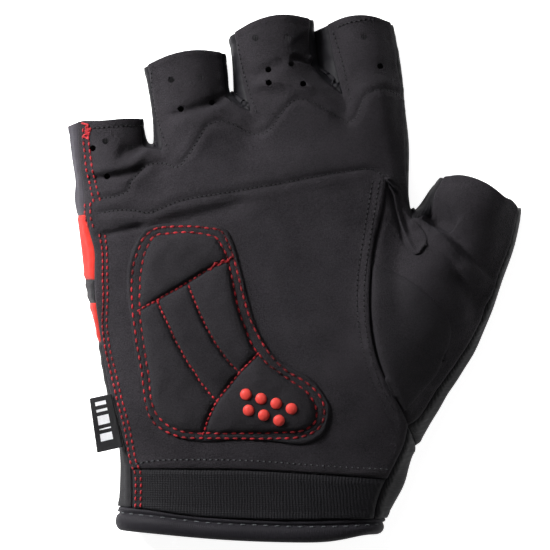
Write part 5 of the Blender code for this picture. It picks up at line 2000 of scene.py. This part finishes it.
def tab_piece():
    """Closing tab on the back of the wrist, a plain soft plate."""
    low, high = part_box("wrist_tab")
    mesh = bmesh.new()
    size = Vector([b - a for a, b in zip(low, high)])
    centre = Vector([(a + b) / 2 for a, b in zip(low, high)])
    bmesh.ops.create_grid(mesh, x_segments=26, y_segments=10, size=0.5)
    for vert in mesh.verts:
        x, y = vert.co.x * 2, vert.co.y * 2
        if abs(x) > 0.82 and abs(y) > 0.4:
            y *= 1.0 - 0.22 * smooth((abs(x) - 0.82) / 0.18)
        vert.co = Vector((x * size.x / 2, y * size.y / 2, 0.0)) + centre
    data = bpy.data.meshes.new("tab")
    mesh.to_mesh(data)
    mesh.free()
    data = plate("wrist_tab", data, size.z, 0.0004, 3)
    return finish_piece("wrist_tab_plate", data, "suede_fine", ("wrist_tab",))


def length_property(name, words, value):
    """Length property of the cloth or the sewing."""
    return FloatProperty(name=name, description=words, default=value, min=0.0, unit="LENGTH")


class GloveSizes(bpy.types.PropertyGroup):
    """Sizes of the glove's cloth and sewing."""

    wall: length_property("Cloth wall", "Thickness of the cloth", 0.0013)
    hole: length_property("Hole", "Diameter of a breathing hole", 0.0018)
    puff: length_property("Pad puff", "Rise of the padded cells", 0.0025)
    dot: length_property("Dot", "Diameter of a rubber dot", 0.0034)
    thread: length_property("Thread", "Width of the sewing thread", 0.00068)
    seam_pitch: length_property("Side seam pitch", "Step of the double side seam", 0.0019)
    pad_pitch: length_property("Pad pitch", "Step of the pad's rows", 0.0025)
    fine_pitch: length_property("Fine pitch", "Step of the tone-on-tone rows", 0.00135)


def colour_property(name, words, value):
    """Colour property of one finish."""
    return FloatVectorProperty(
        name=name, description=words, default=value, size=3, subtype="COLOR", min=0.0, max=1.0)


class GloveColours(bpy.types.PropertyGroup):
    """Colours of the glove's cloths and threads."""

    suede: colour_property("Suede", "Brushed palm cloth", (0.0170, 0.0152, 0.0178))
    patch: colour_property("Patch", "Pad and patch cloth", (0.0150, 0.0137, 0.0158))
    stretch: colour_property("Stretch", "Back and side cloth", (0.0066, 0.0062, 0.0074))
    satin: colour_property("Satin", "Cloth between the fingers", (0.0070, 0.0066, 0.0082))
    grey: colour_property("Grey", "Little finger's side", (0.0245, 0.0220, 0.0270))
    red: colour_property("Red", "Side blocks", (0.32, 0.0125, 0.0070))
    elastic: colour_property("Elastic", "Wrist elastic", (0.0062, 0.0059, 0.0072))
    binding: colour_property("Binding", "Wrist binding", (0.0120, 0.0110, 0.0140))
    rubber: colour_property("Rubber", "Raised dots", (0.50, 0.045, 0.036))
    label: colour_property("Label", "Woven tab", (0.012, 0.012, 0.013))
    thread_red: colour_property("Red thread", "Visible sewing", (0.21, 0.0095, 0.0135))


class GLOVE_OT_fronts(bpy.types.Operator):
    """Make the palm, the finger fronts, the thumb's front and the elastic"""

    bl_idname = "glove.make_fronts"
    bl_label = "Make Fronts"

    def execute(self, context):
        panel_piece("palm_and_fingers", "suede", ("palm_panel", "finger_panel"))
        panel_piece("thumb_panel", "suede")
        panel_piece("cuff_elastic", "elastic")
        return {"FINISHED"}


class GLOVE_OT_sides(bpy.types.Operator):
    """Make the strips along the sides and between the fingers"""

    bl_idname = "glove.make_sides"
    bl_label = "Make Sides"

    def execute(self, context):
        for name, key, slot in (
            ("side_lower", "stretch", "black_stretch"),
            ("side_block_lower", "red", "red_stretch"),
            ("side_middle", "stretch", "black_stretch"),
            ("side_block_upper", "red", "red_stretch"),
            ("side_little_finger", "grey", "grey_stretch"),
            ("fourchette_little_ring", "satin", "black_satin"),
            ("fourchette_ring_middle", "satin", "black_satin"),
            ("fourchette_middle_index", "satin", "black_satin"),
            ("fourchette_index_thumb", "stretch", "black_stretch"),
            ("cuff_side", "stretch", "black_stretch"),
        ):
            panel_piece(name, key)
        return {"FINISHED"}


class GLOVE_OT_backs(bpy.types.Operator):
    """Make the back, the thumb's back and the closing tab"""

    bl_idname = "glove.make_backs"
    bl_label = "Make Backs"

    def execute(self, context):
        panel_piece("thumb_back", "stretch")
        back_piece()
        tab_piece()
        return {"FINISHED"}


class GLOVE_OT_binding(bpy.types.Operator):
    """Make the bound rim of the wrist"""

    bl_idname = "glove.make_binding"
    bl_label = "Make Binding"

    def execute(self, context):
        binding_piece()
        return {"FINISHED"}


class GLOVE_OT_pad(bpy.types.Operator):
    """Make the palm's pad and its rubber dots"""

    bl_idname = "glove.make_pad"
    bl_label = "Make Pad"

    def execute(self, context):
        shape_skin()
        pad_piece()
        dots_piece()
        return {"FINISHED"}


class GLOVE_OT_patches(bpy.types.Operator):
    """Make the thumb's patch, the tongue at its crotch and the woven tab"""

    bl_idname = "glove.make_patches"
    bl_label = "Make Patches"

    def execute(self, context):
        shape_skin()
        patch = ("suede_fine", "pad_suede", 0.50, 0.12)
        overlay_piece("thumb_patch", THUMB_PATCH_SIDES, 60, 90, *patch)
        overlay_piece("crotch_tongue", TONGUE_SIDES, 22, 70, "suede", "suede", 0.55, 0.95)
        label_piece()
        return {"FINISHED"}


class GLOVE_OT_stitches(bpy.types.Operator):
    """Sew the visible rows of stitches"""

    bl_idname = "glove.make_stitches"
    bl_label = "Make Stitches"

    def execute(self, context):
        sizes = context.scene.glove_sizes
        pad = MADE["pad_tree"]
        red = (sizes.thread, "red_stretch")
        fine = (0.00036, "suede")

        def sew(name, rows, key, pitch, length, thread, lift=0.00012, tree=None):
            """Lay rows on the front or another surface and sew them."""
            laid = [laid_line(row, lift, tree) for row in rows]
            stitch_rows(name + "_stitches", laid, key, pitch, length, *thread)

        rows = SIDE_SEAM_LEFT + SIDE_SEAM_RIGHT
        sew("side_seam", rows, "thread_red", sizes.seam_pitch, 0.00135, red)
        tacks = [laid_line(BAR_TACK, 0.00020), laid_line(PAD_TACK, 0.00020, pad)]
        stitch_rows("tack_stitches", tacks, "thread_red", 0.0008, 0.0014, *red)
        rows = (PAD_OUTER_ROW, PAD_INNER_ROW)
        sew("pad_row", rows, "thread_red", sizes.pad_pitch, 0.00170, red, tree=pad)
        sew("pad_channel", PAD_DIVIDERS, "thread_red", 0.0016, 0.00125, red, tree=pad)
        rows = (KNUCKLE_STITCH, WAVE_LINE, THUMB_STITCH) + FINGER_SEAMS + RIM_STITCH
        sew("tone", rows, "thread_black", sizes.fine_pitch, 0.00085, fine, 0.00005)
        rows = [[(x - away, y + 2) for x, y in PALM_EDGE[:-1]] for away in (5.0, 12.0)]
        sew("palm_edge", rows, "thread_black", 0.0015, 0.00080, fine, 0.00005)
        thread = (0.00040, "elastic")
        sew("hem", (CUFF_HEM_STITCH,), "thread_grey", 0.0017, 0.00080, thread, 0.00005)
        thread = (0.00050, "elastic")
        row = (BINDING_STITCH,)
        sew("binding", row, "thread_grey", 0.0033, 0.00170, thread, 0.00008, MADE["binding_tree"])
        return {"FINISHED"}


class GLOVE_OT_stage(bpy.types.Operator):
    """Set the floor, the soft lamps and the camera over the palm"""

    bl_idname = "glove.make_stage"
    bl_label = "Make Stage"

    def execute(self, context):
        scene = context.scene
        data = bpy.data.meshes.new("floor")
        side = 1.2
        corners = [(-side, -side, 0), (side, -side, 0), (side, side, 0), (-side, side, 0)]
        data.from_pydata(corners, [], [(0, 1, 2, 3)])
        floor = add_object("floor", data)
        material = bpy.data.materials.new("floor_white")
        material.use_nodes = True
        shader = material.node_tree.nodes["Principled BSDF"]
        shader.inputs["Base Color"].default_value = (0.80, 0.80, 0.80, 1.0)
        shader.inputs["Roughness"].default_value = 0.9
        shader.inputs["Specular IOR Level"].default_value = 0.1
        shader.inputs["Emission Color"].default_value = (1.0, 1.0, 1.0, 1.0)
        shader.inputs["Emission Strength"].default_value = 0.90
        data.materials.append(material)
        world = bpy.data.worlds.new("studio")
        world.use_nodes = True
        world.node_tree.nodes["Background"].inputs["Color"].default_value = (1.0, 1.0, 1.0, 1.0)
        world.node_tree.nodes["Background"].inputs["Strength"].default_value = 0.085
        scene.world = world
        lamps = (
            ((-0.34, 0.20, 0.26), (-0.055, 0.015, 0.01), 0.65, 0.16, 60.0),
            ((-0.20, 0.50, 0.60), (0.0, 0.0, 0.01), 1.4, 0.40, 180.0),
            ((0.50, 0.05, 0.60), (0.0, 0.0, 0.01), 0.4, 0.50, 180.0),
        )
        for number, (where, aim, power, size, spread_of_light) in enumerate(lamps):
            lamp = bpy.data.lights.new(f"lamp_{number}", "AREA")
            lamp.energy = power
            lamp.size = size
            lamp.spread = math.radians(spread_of_light)
            thing = add_object(f"lamp_{number}", lamp)
            thing.location = where
            thing.rotation_euler = (Vector(aim) - Vector(where)).to_track_quat("-Z", "Y").to_euler()
        camera = bpy.data.cameras.new("camera")
        camera.lens = 350.0
        camera.sensor_width = 36.0
        wide = 550 * GLOVE_LENGTH / DRAWN_LENGTH
        height = wide * camera.lens / camera.sensor_width
        camera.clip_start = 0.01
        eye = add_object("camera", camera)
        middle = drawn(275, 275)
        eye.location = (middle.x, middle.y, height + 0.0075)
        scene.camera = eye
        scene.view_settings.view_transform = "Standard"
        return {"FINISHED"}


class GLOVE_PT_panel(bpy.types.Panel):
    """Sidebar list of the glove's sizes, colours and steps"""

    bl_label = "Fingerless Glove"
    bl_space_type = "VIEW_3D"
    bl_region_type = "UI"
    bl_category = "Glove"

    def draw(self, context):
        layout = self.layout
        for group in (context.scene.glove_sizes, context.scene.glove_colours):
            box = layout.box()
            for label in group.__annotations__:
                box.prop(group, label)
        for operator in OPERATORS:
            layout.operator(operator.bl_idname)


OPERATORS = (
    GLOVE_OT_stage,
    GLOVE_OT_fronts,
    GLOVE_OT_sides,
    GLOVE_OT_backs,
    GLOVE_OT_binding,
    GLOVE_OT_pad,
    GLOVE_OT_patches,
    GLOVE_OT_stitches,
)
CLASSES = (GloveSizes, GloveColours) + OPERATORS + (GLOVE_PT_panel,)


def register():
    """Register the classes and the scene's settings."""
    for item in CLASSES:
        bpy.utils.register_class(item)
    bpy.types.Scene.glove_sizes = PointerProperty(type=GloveSizes)
    bpy.types.Scene.glove_colours = PointerProperty(type=GloveColours)


def unregister():
    """Take the classes and the settings away again."""
    del bpy.types.Scene.glove_colours
    del bpy.types.Scene.glove_sizes
    for item in reversed(CLASSES):
        bpy.utils.unregister_class(item)


def main():
    """Build the glove and its stage."""
    register()
    bpy.ops.glove.make_stage()
    bpy.ops.glove.make_fronts()
    bpy.ops.glove.make_sides()
    bpy.ops.glove.make_backs()
    bpy.ops.glove.make_binding()
    bpy.ops.glove.make_pad()
    bpy.ops.glove.make_patches()
    bpy.ops.glove.make_stitches()


if __name__ == "__main__":
    main()
